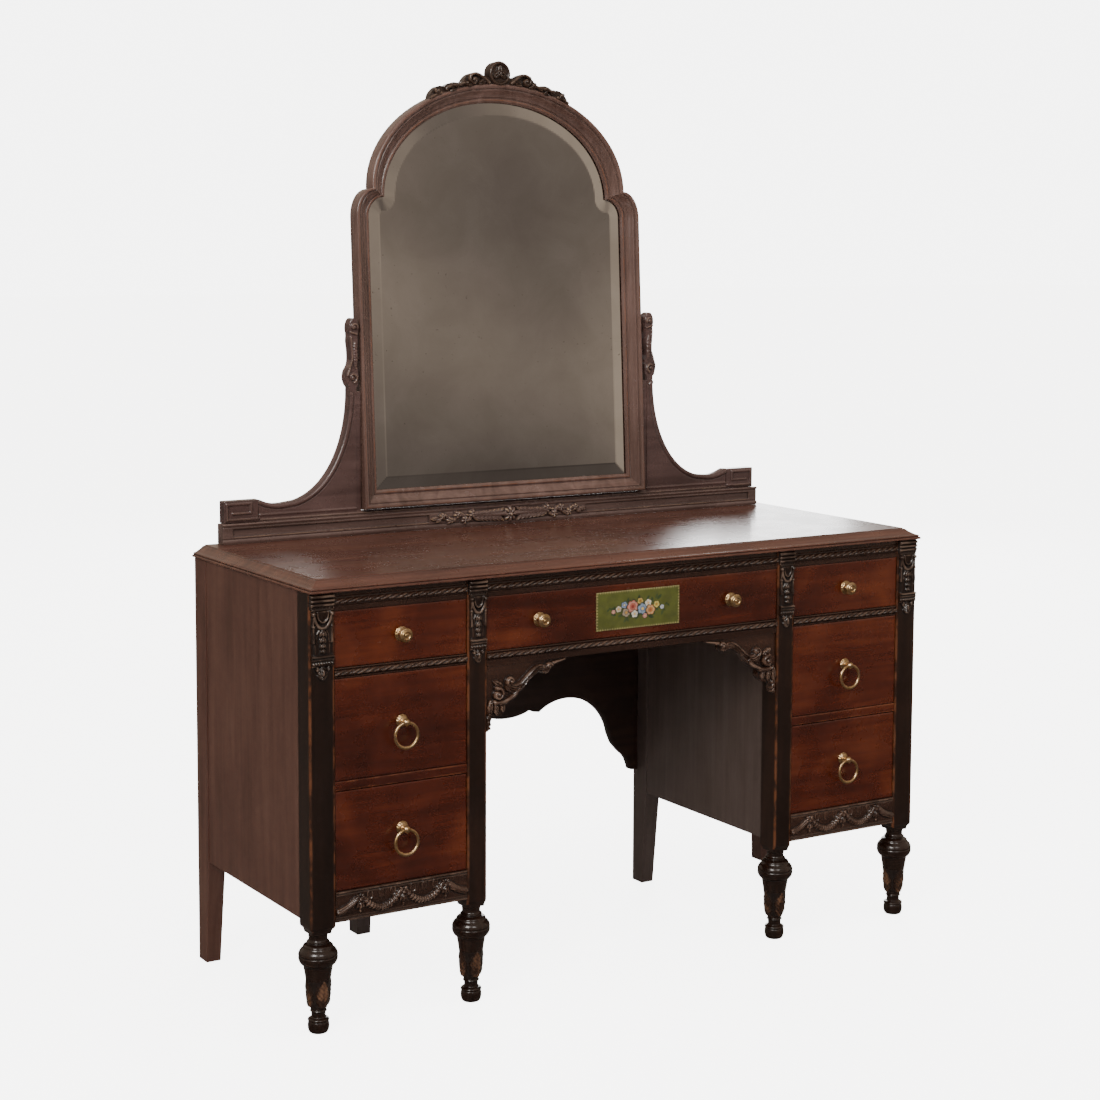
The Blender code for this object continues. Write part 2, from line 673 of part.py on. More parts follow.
def build_drawers(mats):
    drawer("drawer_centre", -KNEE_HALF, KNEE_HALF, TOP_DRAWER_FOOT, FRIEZE_FOOT - SLIDE_GAP, mats)
    for name, side in SIDES:
        low, high = sorted((side * OPENING_OUTER, side * OPENING_INNER))
        levels = (
            ("top", TOP_DRAWER_FOOT, FRIEZE_FOOT - SLIDE_GAP),
            ("middle", MIDDLE_DRAWER_FOOT, ROPE_RAIL_FOOT - SLIDE_GAP),
            ("bottom", BOTTOM_DRAWER_FOOT, DIVIDER_FOOT - SLIDE_GAP),
        )
        for level, foot, head in levels:
            drawer(f"drawer_{name}_{level}", low, high, foot, head, mats)


def build_picture(material):
    """The painted panel let on to the middle of the centre drawer."""
    middle = (TOP_DRAWER_FOOT + FRIEZE_FOOT) / 2
    box("painted_panel",
        (-PICTURE_WIDTH / 2, FACE_Y - GAP - PICTURE_THICK, middle - PICTURE_HEIGHT / 2),
        (PICTURE_WIDTH / 2, FACE_Y - GAP, middle + PICTURE_HEIGHT / 2), material)


# ---------------------------------------------------------------- brass
def facing_front(mesh):
    """Turns a mesh made about Z so that its top points out of the front."""
    mesh.transform(Matrix.Rotation(pi / 2, 4, "X"))
    return mesh


def build_knob(name, x, height, material):
    profile = [
        (0.0000, 0.0205), (0.0050, 0.0200), (0.0095, 0.0185), (0.0122, 0.0160), (0.0125, 0.0145),
        (0.0105, 0.0125), (0.0055, 0.0105), (0.0045, 0.0075), (0.0060, 0.0040), (0.0110, 0.0025),
        (0.0120, 0.0000), (0.0000, 0.0000),
    ]
    mesh = facing_front(turned_mesh(name, profile, 16))
    new_object(name, mesh, material, (x, FACE_Y - GAP, height))


def build_eye(name, x, height, material):
    """A ring's rosette and eye. The eye is bored along X for the ring to turn in."""
    profile = [
        (0.0000, EYE_REACH + EYE_BALL * 0.90), (EYE_BALL * 0.57, EYE_REACH + EYE_BALL * 0.79),
        (EYE_BALL * 0.94, EYE_REACH + EYE_BALL * 0.36), (EYE_BALL, EYE_REACH),
        (EYE_BALL * 0.86, EYE_REACH - EYE_BALL * 0.57), (0.0042, EYE_REACH - EYE_BALL * 0.86),
        (0.0042, 0.0050), (0.0085, 0.0035), (0.0105, 0.0020), (0.0105, 0.0000), (0.0000, 0.0000),
    ]
    mesh = facing_front(turned_mesh(name, profile, 12))
    made = new_object(name, mesh, material, (x, FACE_Y - GAP, height))
    place = (x, FACE_Y - GAP - EYE_REACH, height)
    combine(made, helper_cylinder(name + "_bore", EYE_BORE, 0.030, place, (1, 0, 0), 12),
            "DIFFERENCE")


def build_ring(name, x, height, material):
    """The ring hangs in its eye, and its origin is on the eye's axis."""
    bpy.ops.mesh.primitive_torus_add(
        major_radius=RING_RADIUS, minor_radius=RING_WIRE, major_segments=24, minor_segments=8,
    )
    made = bpy.context.object
    made.name = name
    for holder in list(made.users_collection):
        holder.objects.unlink(made)
    PARTS.objects.link(made)
    made.data.materials.append(material)
    hang = Matrix.Translation((0, 0, -RING_RADIUS))
    made.data.transform(hang @ Matrix.Rotation(pi / 2, 4, "X") @ Matrix.Rotation(pi / 24, 4, "Z"))
    made.location = (x, FACE_Y - GAP - EYE_REACH, height)


def build_hardware(material):
    knob_height = (TOP_DRAWER_FOOT + FRIEZE_FOOT) / 2 - KNOB_DROP
    pulls = (
        ("middle", (MIDDLE_DRAWER_FOOT + ROPE_RAIL_FOOT - SLIDE_GAP) / 2 + MIDDLE_PULL_RISE),
        ("bottom", (BOTTOM_DRAWER_FOOT + DIVIDER_FOOT - SLIDE_GAP) / 2 + BOTTOM_PULL_RISE),
    )
    for name, side in SIDES:
        middle = side * PEDESTAL_MIDDLE
        build_knob(f"knob_{name}", middle, knob_height, material)
        build_knob(f"knob_centre_{name}", side * KNOB_SPREAD, knob_height, material)
        for level, height in pulls:
            build_eye(f"ring_eye_{name}_{level}", middle, height, material)
            build_ring(f"ring_{name}_{level}", middle, height, material)


# ---------------------------------------------------------------- mirror stand
def build_base_rail(material):
    """A rail with a stopped groove, a set-back strip along its top, and carving in the middle."""
    half = RAIL_SPAN / 2
    foot = TOP_HEIGHT + GAP
    back = RAIL_FRONT + RAIL_THICK
    rail = box("mirror_base_rail", (-half, RAIL_FRONT, foot), (half, back, RAIL_TOP), material, 0.0015)
    groove_low = foot + 0.0135
    groove_high = foot + 0.0265
    combine(rail, helper_box("base_rail_groove", (-half + 0.020, RAIL_FRONT - 0.010, groove_low),
                             (half - 0.020, RAIL_FRONT + 0.004, groove_high)), "DIFFERENCE")
    strip_half = KEY_BLOCK_INNER - GAP
    combine(rail, helper_box("base_rail_strip", (-strip_half, RAIL_FRONT + 0.004, RAIL_TOP - 0.004),
                             (strip_half, back - 0.001, STRIP_TOP)), "UNION")
    middle = foot + 0.021
    combine(rail, helper_cylinder("base_rail_rosette", 0.0170, 0.016,
                                  (0, RAIL_FRONT, middle), (0, 1, 0), 12), "UNION")
    for name, side in SIDES:
        leaf = [(0.010, middle + 0.010), (0.040, middle + 0.012), (0.070, middle + 0.005),
                (0.105, middle + 0.011), (0.150, middle + 0.007), (0.172, middle + 0.001),
                (0.150, middle - 0.004), (0.105, middle - 0.008), (0.070, middle - 0.003),
                (0.040, middle - 0.012), (0.010, middle - 0.010)]
        label = f"base_rail_leaf_{name}"
        mesh = outline_mesh(label, mirrored(leaf, side), 0.014)
        combine(rail, cutter(label, mesh, (0, RAIL_FRONT + 0.0015, 0)), "UNION")


def sweep(inwards, start, end, steps):
    """The concave edge of a right standard, or a line parallel to it inside the wood."""
    across = SWEEP_FOOT_X - SWEEP_HEAD_X + inwards
    rise = SWEEP_HEAD_Z - (KEY_BLOCK_TOP - SWEEP_FOOT_DROP) + inwards
    middle = (SWEEP_FOOT_X, SWEEP_HEAD_Z)
    return quarter(middle, across, rise, start, end, steps, SWEEP_POWER)


def scroll_outline():
    """(out from the standard's inner edge, up from the pivot) round the scrolled head."""
    outer = [(0.0130, -0.0520), (0.0175, -0.0460), (0.0205, -0.0340), (0.0180, -0.0210),
             (0.0120, -0.0120), (0.0105, 0.0000), (0.0115, 0.0180), (0.0130, 0.0330),
             (0.0120, 0.0480), (0.0140, 0.0580), (0.0105, 0.0700)]
    inner = [(0.0030, 0.0760), (-0.0045, 0.0690), (-0.0065, 0.0580), (-0.0040, 0.0350),
             (-0.0045, -0.0200), (-0.0060, -0.0340), (-0.0040, -0.0460), (0.0000, -0.0530)]
    return [(STANDARD_INNER + out, PIVOT_HEIGHT + up) for out, up in outer + inner]


def standard_outline():
    """The right standard: key block, dip, long sweep, and the scroll that carries the pivot."""
    foot = STRIP_TOP + GAP
    block_foot = RAIL_TOP + GAP
    outer = STANDARD_SPAN / 2
    dip = KEY_BLOCK_INNER - SWEEP_FOOT_X
    outline = [
        (STANDARD_INNER, foot), (KEY_BLOCK_INNER, foot), (KEY_BLOCK_INNER, block_foot),
        (outer, block_foot), (outer, KEY_BLOCK_TOP), (KEY_BLOCK_INNER, KEY_BLOCK_TOP),
        (SWEEP_FOOT_X + dip * 0.65, KEY_BLOCK_TOP - 0.0065),
        (SWEEP_FOOT_X + dip * 0.33, KEY_BLOCK_TOP - 0.0098),
        (SWEEP_FOOT_X, KEY_BLOCK_TOP - SWEEP_FOOT_DROP),
    ]
    return outline + sweep(0.0, 262, 184, 11) + scroll_outline()


def add_key(made, name, side, front):
    """The square meander on a key block, as raised bars along one winding line."""
    left = KEY_BLOCK_INNER + 0.006
    right = STANDARD_SPAN / 2 - 0.006
    foot = RAIL_TOP + 0.006
    head = KEY_BLOCK_TOP - 0.006
    line = [(left, foot), (right, foot), (right, head), (left + 0.010, head),
            (left + 0.010, foot + 0.011), (right - 0.012, foot + 0.011)]
    half = KEY_BAR / 2
    for number, (one, two) in enumerate(zip(line, line[1:])):
        xs = sorted((side * one[0], side * two[0]))
        zs = sorted((one[1], two[1]))
        proud = 0.0022 + 0.0002 * (number % 2)
        combine(made, helper_box(f"key_{name}_{number}",
                                 (xs[0] - half, front - proud, zs[0] - half),
                                 (xs[1] + half, front + 0.003, zs[1] + half)), "UNION")


def build_standards(material):
    for name, side in SIDES:
        made = plate(f"standard_{name}", mirrored(standard_outline(), side), STANDARD_THICK,
                     STANDARD_MIDDLE_Y, material)
        front = STANDARD_MIDDLE_Y - STANDARD_THICK / 2
        bead = sweep(0.0012, 264, 184, 9) + sweep(0.0012 + BEAD_WIDTH, 184, 264, 9)
        label = f"sweep_bead_{name}"
        combine(made, cutter(label, outline_mesh(label, mirrored(bead, side), 0.008),
                             (0, front - BEAD_PROUD + 0.004, 0)), "UNION")
        add_key(made, name, side, front)
        for label, out, up, radius in (("volute", 0.007, -0.034, 0.0105), ("scroll", 0.004, 0.060, 0.0085)):
            place = (side * (STANDARD_INNER + out), front, PIVOT_HEIGHT + up)
            combine(made, helper_cylinder(f"{label}_{name}", radius, 0.007, place, (0, 1, 0), 10),
                    "UNION")
        inner_end = MIRROR_WIDTH / 2 - PIVOT_REACH
        outer_end = STANDARD_INNER + 0.006
        combine(made, helper_cylinder(f"pivot_pin_{name}", PIVOT_PIN, outer_end - inner_end,
                                      (side * (inner_end + outer_end) / 2, PIVOT_Y, PIVOT_HEIGHT),
                                      (1, 0, 0), 12), "UNION")


# ---------------------------------------------------------------- mirror
def frame_outline():
    """The frame's outer edge, from the middle of its foot round to the middle of the foot."""
    half = MIRROR_WIDTH / 2
    right = [(0.0, 0.0), (half, 0.0), (half, SHOULDER_FOOT)]
    shoulder = quarter((NOTCH_HALF, SHOULDER_FOOT), half - NOTCH_HALF,
                       NOTCH_HEIGHT - SHOULDER_FOOT, 0, 90, 5)
    arch = quarter((0.0, NOTCH_HEIGHT), NOTCH_HALF, ARCH_TOP - NOTCH_HEIGHT, 0, 90, 10)
    right += shoulder[1:] + arch[1:]
    return right + [(-x, z) for x, z in reversed(right[1:-1])]


def sight_outline():
    """The frame's inner edge, point for point with frame_outline."""
    right = [(0.0, FRAME_FACE), (SIGHT_HALF, FRAME_FACE), (SIGHT_HALF, SIGHT_SHOULDER_FOOT)]
    shoulder = quarter((SIGHT_CUSP_HALF, SIGHT_SHOULDER_FOOT), SIGHT_HALF - SIGHT_CUSP_HALF,
                       SIGHT_CUSP_HEIGHT - SIGHT_SHOULDER_FOOT, 0, 90, 5)
    arch = quarter((0.0, SIGHT_CUSP_HEIGHT), SIGHT_CUSP_HALF, SIGHT_ARCH_TOP - SIGHT_CUSP_HEIGHT,
                   0, 90, 10)
    right += shoulder[1:] + arch[1:]
    return right + [(-x, z) for x, z in reversed(right[1:-1])]


def frame_profile():
    """(share of the way in from the outer edge, depth behind the front) round the moulding."""
    seat = 1.0 - RABBET_WIDTH / FRAME_FACE
    lip_back = GLASS_SETBACK - GAP
    return [
        (0.00, FRAME_DEPTH), (0.00, 0.0022), (0.05, 0.0006), (0.13, 0.0000), (0.23, 0.0012),
        (0.27, 0.0040), (0.33, 0.0040), (0.45, 0.0088), (0.58, 0.0126), (0.70, 0.0146),
        (0.73, 0.0168), (0.84, 0.0164), (0.96, 0.0182), (1.00, 0.0198), (1.00, lip_back),
        (seat, lip_back), (seat, FRAME_DEPTH),
    ]


def tilted(thing):
    """Hangs a piece made in the frame's own plane on the pivot, at the angle the mirror rests."""
    thing.location = (0, PIVOT_Y, PIVOT_HEIGHT)
    thing.rotation_euler = (-MIRROR_TILT, 0, 0)
    return thing


def in_frame(outline, depth):
    """Outline points at a depth behind the frame's front, seen from the pivot."""
    return [(x, depth - FRONT_OF_PIVOT, z - MIRROR_BELOW_PIVOT) for x, z in outline]


def between(outer, inner, share):
    return [(a[0] + (b[0] - a[0]) * share, a[1] + (b[1] - a[1]) * share)
            for a, b in zip(outer, inner)]


def build_mirror(mats):
    outer = frame_outline()
    inner = sight_outline()
    rings = [in_frame(between(outer, inner, share), depth) for share, depth in frame_profile()]
    frame = tilted(new_object("mirror_frame", loft_mesh("mirror_frame", list(zip(*rings)), True),
                              mats["frame_walnut"]))
    bore = helper_cylinder("pivot_bore", PIVOT_BORE, MIRROR_WIDTH + 0.02, (0, PIVOT_Y, PIVOT_HEIGHT),
                           (1, 0, 0), 12)
    core = helper_box("pivot_bore_core", (-MIRROR_WIDTH / 2 + PIVOT_REACH + 0.002, -0.02, -0.02),
                      (MIRROR_WIDTH / 2 - PIVOT_REACH - 0.002, 0.02, 0.02))
    core.location = (0, PIVOT_Y, PIVOT_HEIGHT)
    combine(bore, core, "DIFFERENCE")
    combine(frame, bore, "DIFFERENCE")

    seat_share = 1.0 - (RABBET_WIDTH - GAP * 2) / FRAME_FACE
    pane = between(outer, inner, seat_share)
    for name, front, thick, material in (
        ("mirror_glass", GLASS_SETBACK, GLASS_THICK, mats["mirror_glass"]),
        ("mirror_backing", GLASS_SETBACK + GLASS_THICK + GAP, BACKING_THICK, mats["case_walnut"]),
    ):
        sections = [in_frame(pane, front), in_frame(pane, front + thick)]
        tilted(new_object(name, loft_mesh(name, sections), material))


def arch_height(x):
    """Height of the frame's outer edge over its arch, at a distance from the middle."""
    return NOTCH_HEIGHT + (ARCH_TOP - NOTCH_HEIGHT) * (1 - (x / NOTCH_HALF) ** 2) ** 0.5


def crest_outline():
    """The carved crest, from its right tip over the top, then back along the frame's arch."""
    half = [(0.1520, 0.0035), (0.1440, 0.0131), (0.1320, 0.0141), (0.1210, 0.0090),
            (0.1120, 0.0076), (0.1020, 0.0099), (0.0900, 0.0096), (0.0780, 0.0116),
            (0.0700, 0.0184), (0.0590, 0.0218), (0.0450, 0.0199), (0.0360, 0.0137)]
    half = [(x, arch_height(x) + above) for x, above in half]
    top = half + [(-x, z) for x, z in reversed(half)]
    seat = []
    steps = 16
    for i in range(steps + 1):
        x = -0.1520 + 0.3040 * i / steps
        seat.append((x, arch_height(x) + GAP))
    return top + seat


def build_crest(material):
    thick = 0.016
    sections = [in_frame(crest_outline(), depth) for depth in (0.004, 0.004 + thick)]
    crest = tilted(new_object("mirror_crest", loft_mesh("mirror_crest", sections), material))
    rise = ARCH_TOP + 0.0195 - MIRROR_BELOW_PIVOT
    for label, radius, front in (("rosette", 0.0230, 0.0010), ("rosette_heart", 0.0110, -0.0030)):
        disc = helper_cylinder(f"crest_{label}", radius, 0.014, (0, 0, 0), (0, 1, 0), 16)
        disc.data.transform(Matrix.Translation((0, front + 0.007 - FRONT_OF_PIVOT, rise)))
        combine(crest, tilted(disc), "UNION")
    for side in (-1, 1):
        for number, (x, above, radius) in enumerate(CREST_SCROLLS):
            boss = helper_cylinder(f"crest_scroll_{number}_{side}", radius, 0.008, (0, 0, 0),
                                   (0, 1, 0), 10)
            height = arch_height(x) + above - MIRROR_BELOW_PIVOT
            place = (side * x, 0.0055 - FRONT_OF_PIVOT, height)
            boss.data.transform(Matrix.Translation(place))
            combine(crest, tilted(boss), "UNION")
    clear = helper_box("crest_seat", (-0.06, -0.05, -0.06), (0.06, 0.05, 0))
    clear.data.transform(Matrix.Translation((0, 0, ARCH_TOP + GAP - MIRROR_BELOW_PIVOT)))
    combine(crest, tilted(clear), "DIFFERENCE")


# ---------------------------------------------------------------- build
clear_scene()
PARTS = new_collection("vanity_table")
CUTTERS = new_collection("cutters")
MATERIALS = make_materials()
build_top(MATERIALS["top_walnut"])
build_carcase(MATERIALS)
build_knee_board(MATERIALS["case_walnut"])
build_rails(MATERIALS)
build_brackets(MATERIALS["carved_walnut"])
build_drawers(MATERIALS)
build_picture(MATERIALS["picture_green"])
build_hardware(MATERIALS["aged_brass"])
build_base_rail(MATERIALS["frame_walnut"])
build_standards(MATERIALS["frame_walnut"])
build_mirror(MATERIALS)
build_crest(MATERIALS["carved_walnut"])
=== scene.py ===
"""Looks of the kneehole vanity table with its tilting mirror.

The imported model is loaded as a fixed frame. Turned, carved and moulded pieces are made again
with fine surfaces in the places of their CAD nodes; flat boards keep their CAD node and get a
better material. Lengths are metres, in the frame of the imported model.
"""

from math import ceil, copysign, cos, hypot, pi, radians, sin

import bmesh
import bpy
import numpy as np
from mathutils import Matrix, Vector


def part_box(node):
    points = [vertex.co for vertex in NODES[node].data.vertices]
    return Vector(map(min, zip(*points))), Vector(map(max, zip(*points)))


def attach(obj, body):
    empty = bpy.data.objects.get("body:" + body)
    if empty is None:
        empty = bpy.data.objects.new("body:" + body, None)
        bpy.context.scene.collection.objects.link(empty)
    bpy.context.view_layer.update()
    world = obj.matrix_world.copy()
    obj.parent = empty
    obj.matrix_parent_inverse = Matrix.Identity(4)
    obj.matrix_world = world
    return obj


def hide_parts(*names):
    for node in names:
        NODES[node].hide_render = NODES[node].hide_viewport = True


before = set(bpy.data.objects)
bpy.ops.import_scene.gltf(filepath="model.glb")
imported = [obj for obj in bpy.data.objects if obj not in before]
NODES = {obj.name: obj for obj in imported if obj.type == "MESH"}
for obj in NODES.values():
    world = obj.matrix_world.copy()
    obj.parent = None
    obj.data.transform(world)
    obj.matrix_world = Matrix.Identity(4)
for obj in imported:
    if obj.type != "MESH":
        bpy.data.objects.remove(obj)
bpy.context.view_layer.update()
SIDES = (("left", -1), ("right", 1))

# ---------------------------------------------------------------- places, from the CAD nodes
SKIN = 0.0004                   # glue gap between neighbours
post_low, post_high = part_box("front_post_right_outer")
front_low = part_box("drawer_right_middle_front")[0]
rail_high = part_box("mirror_base_rail")[1]
top_low, top_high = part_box("table_top")

FACE_Y = front_low.y            # drawer fronts and rails
CASE_FRONT = FACE_Y - 0.002     # front faces of the posts
POST_DEPTH = 0.043
POST_BACK = CASE_FRONT + POST_DEPTH
TOP_Z = top_high.z
TOP_UNDER = top_low.z
OUTER_POST = 0.046
CASE_HALF = (post_low.x + post_high.x + OUTER_POST) / 2     # the leg is wider than its post
PANEL_INSET = 0.0184            # of the boards inside the case, from its outer planes
INNER_POST = 0.038
OPENING_OUTER = CASE_HALF - OUTER_POST
OPENING_INNER = OPENING_OUTER - 0.250
KNEE_HALF = OPENING_INNER - INNER_POST
CASE_BACK = top_high.y - 0.004
REAR_LEG_FRONT = CASE_BACK - 0.047
RAIL_FRONT = top_low.y + 0.4605
RAIL_TOP = TOP_Z + 0.0374
STRIP_TOP = RAIL_TOP + 0.0065
STRIP_RISE = 0.0012             # of the strip's top, which closes the sight under the mirror
PIVOT = Vector((0.0, top_low.y + 0.4806, TOP_Z + 0.328))
TILT = radians(3.3)
MIRROR_WIDTH = 0.631
FRAME_FACE = 0.0345
FRAME_DEPTH = 0.029
GLASS_LAP = 0.0062              # of the pane behind the frame
BEVEL_WIDTH, BEVEL_DEPTH = 0.0230, 0.0013
FRONT_OF_PIVOT = 0.0127
BELOW_PIVOT = PIVOT.z - STRIP_TOP - 0.0024
STANDARD_INNER = MIRROR_WIDTH / 2 + 0.0115
STANDARD_HALF = 0.594
KEY_INNER = STANDARD_HALF - 0.069
KEY_TOP = TOP_Z + 0.078
SWEEP_FOOT = KEY_INNER - 0.048  # where the sweep of a standard ends in its dip
STANDARD_THICK = 0.020
SHOULDER_FOOT = 0.545
NOTCH_HEIGHT = 0.598
NOTCH_HALF = MIRROR_WIDTH / 2 - 0.0345
ARCH_TOP = 0.801
CREST_LAP = 0.0045              # of the crest over the face of the frame
RELIEF = 0.0006                 # thickness of the ground that most carving rises from

TILT_MATRIX = Matrix.Translation(PIVOT) @ Matrix.Rotation(-TILT, 4, "X")


def on_mirror(x, depth, height):
    """World place of a point given on the mirror's own plane, from its foot and its front."""
    return TILT_MATRIX @ Vector((x, depth - FRONT_OF_PIVOT, height - BELOW_PIVOT))


# ---------------------------------------------------------------- meshes
def peaks(value, *marks):
    """The highest of several pointed hills, each given as place, half width and height."""
    return np.max([height * np.clip(1 - np.abs(value - place) / width, 0, 1)
                   for place, width, height in marks], 0)


def smooth_line(points, per_span):
    """Catmull-Rom curve through the points."""
    p = np.asarray(points, float)
    p = np.vstack([2 * p[0] - p[1], p, 2 * p[-1] - p[-2]])
    out = []
    for a, b, c, d in zip(p, p[1:], p[2:], p[3:]):
        for t in np.linspace(0, 1, per_span, endpoint=False):
            out.append(0.5 * (2 * b + (c - a) * t + (2 * a - 5 * b + 4 * c - d) * t ** 2
                              + (3 * b - a - 3 * c + d) * t ** 3))
    return np.array(out + [p[-2]])


class Shape:
    """Points, faces and rub levels gathered from several closed solids into one piece."""

    def __init__(self):
        self.points, self.faces, self.rub_and_light = [], [], []

    def add(self, points, faces, rub_and_light=None):
        base = len(self.points)
        self.points.extend(map(tuple, points))
        self.faces.extend([tuple(base + i for i in face) for face in faces])
        self.rub_and_light.extend([0.5] * len(points) if rub_and_light is None else list(rub_and_light))
        return self

    def loft(self, sections, rub_and_light_values=None, ring=False):
        """Solid through closed sections of equal length, capped unless it closes on itself."""
        sections = np.asarray(sections, float)
        rows, columns = sections.shape[:2]
        faces = []
        for i in range(rows if ring else rows - 1):
            k = (i + 1) % rows
            for j in range(columns):
                m = (j + 1) % columns
                faces.append((i * columns + j, i * columns + m, k * columns + m, k * columns + j))
        if not ring:
            faces.append(tuple(reversed(range(columns))))
            faces.append(tuple(range((rows - 1) * columns, rows * columns)))
        rub_and_light = None if rub_and_light_values is None else np.asarray(rub_and_light_values, float).reshape(-1)
        return self.add(sections.reshape(-1, 3), faces, rub_and_light)

    def board(self, low, high, ease=0.0012):
        """A box with rounded edges. The edges get a higher rub level than the faces: rubbed finish
        and painted highlight.
        """
        low, high = np.minimum(low, high), np.maximum(low, high)
        ease = min(ease, 0.3 * float((high - low).min()))
        margin = min(0.006, 0.25 * float((high - low).min()))
        bm = bmesh.new()
        middle, size = (low + high) / 2, high - low
        bmesh.ops.create_cube(bm, size=1.0, matrix=Matrix.Translation(Vector(middle))
                              @ Matrix.Diagonal((*size, 1.0)))
        bmesh.ops.bevel(bm, geom=list(bm.edges), offset=ease, segments=3, profile=0.5,
                        affect="EDGES")
        big = [face for face in bm.faces if len(face.verts) == 4
               and sum(abs(c) > 0.999 for c in face.normal) == 1]
        big = sorted(big, key=lambda f: -f.calc_area())[:6]
        bmesh.ops.inset_individual(bm, faces=big, thickness=margin)
        bm.verts.index_update()
        inner = {v.index for face in big for v in face.verts}
        points = [tuple(v.co) for v in bm.verts]
        faces = [tuple(v.index for v in face.verts) for face in bm.faces]
        rub_and_light = [0.5 if v.index in inner else 0.85 for v in bm.verts]
        bm.free()
        return self.add(points, faces, rub_and_light)

    def turned(self, profile, steps, place, radial=None):
        """Solid of revolution about Z from (radius, height) pairs, top first, ends on the axis.

        `radial` gives what is added to the radius, and the rub level, from height, angle and
        radius."""
        profile = np.asarray(profile, float)
        angles = np.linspace(0, 2 * pi, steps, endpoint=False)
        radius = np.repeat(profile[1:-1, 0][:, None], steps, 1)
        height = np.repeat(profile[1:-1, 1][:, None], steps, 1)
        rub_and_light_level = np.full(radius.shape, 0.5)
        if radial is not None:
            extra, rub_and_light_level = radial(height, np.repeat(angles[None, :], len(radius), 0), radius)
            radius = radius + extra
        points = np.stack([radius * np.cos(angles), radius * np.sin(angles), height], -1)
        rows = len(radius)
        tips = [[0, 0, profile[0, 1]], [0, 0, profile[-1, 1]]]
        points = np.vstack([points.reshape(-1, 3), tips])
        faces = []
        for i in range(rows - 1):
            for j in range(steps):
                m = (j + 1) % steps
                row, below = i * steps, (i + 1) * steps
                faces.append((row + j, below + j, below + m, row + m))
        top, foot = rows * steps, rows * steps + 1
        for j in range(steps):
            m = (j + 1) % steps
            faces.append((top, j, m))
            faces.append((foot, (rows - 1) * steps + m, (rows - 1) * steps + j))
        points = np.array([place @ Vector(p) for p in points])
        return self.add(points, faces, np.append(rub_and_light_level.reshape(-1), [0.5, 0.5]))

    def make(self, name, look, body, slot, nodes, sharp):
        """The finished piece: its look, body and the CAD nodes that it stands in for. `slot` is
        not used.
        """
        mesh = bpy.data.meshes.new(name)
        mesh.from_pydata([tuple(map(float, point)) for point in self.points], [], self.faces)
        # The rub attribute: high for rubbed finish and painted highlight, low for grime and
        # painted shade.
        mesh.attributes.new("rub_and_light", "FLOAT", "POINT").data.foreach_set(
            "value", np.asarray(self.rub_and_light, np.float32))
        mesh.validate()
        mesh.shade_smooth()
        mesh.set_sharp_from_angle(angle=radians(sharp))
        made = bpy.data.objects.new(name, mesh)
        bpy.context.scene.collection.objects.link(made)
        mesh.materials.append(LOOKS[look])
        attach(made, body)
        if nodes:
            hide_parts(*nodes)
        return made


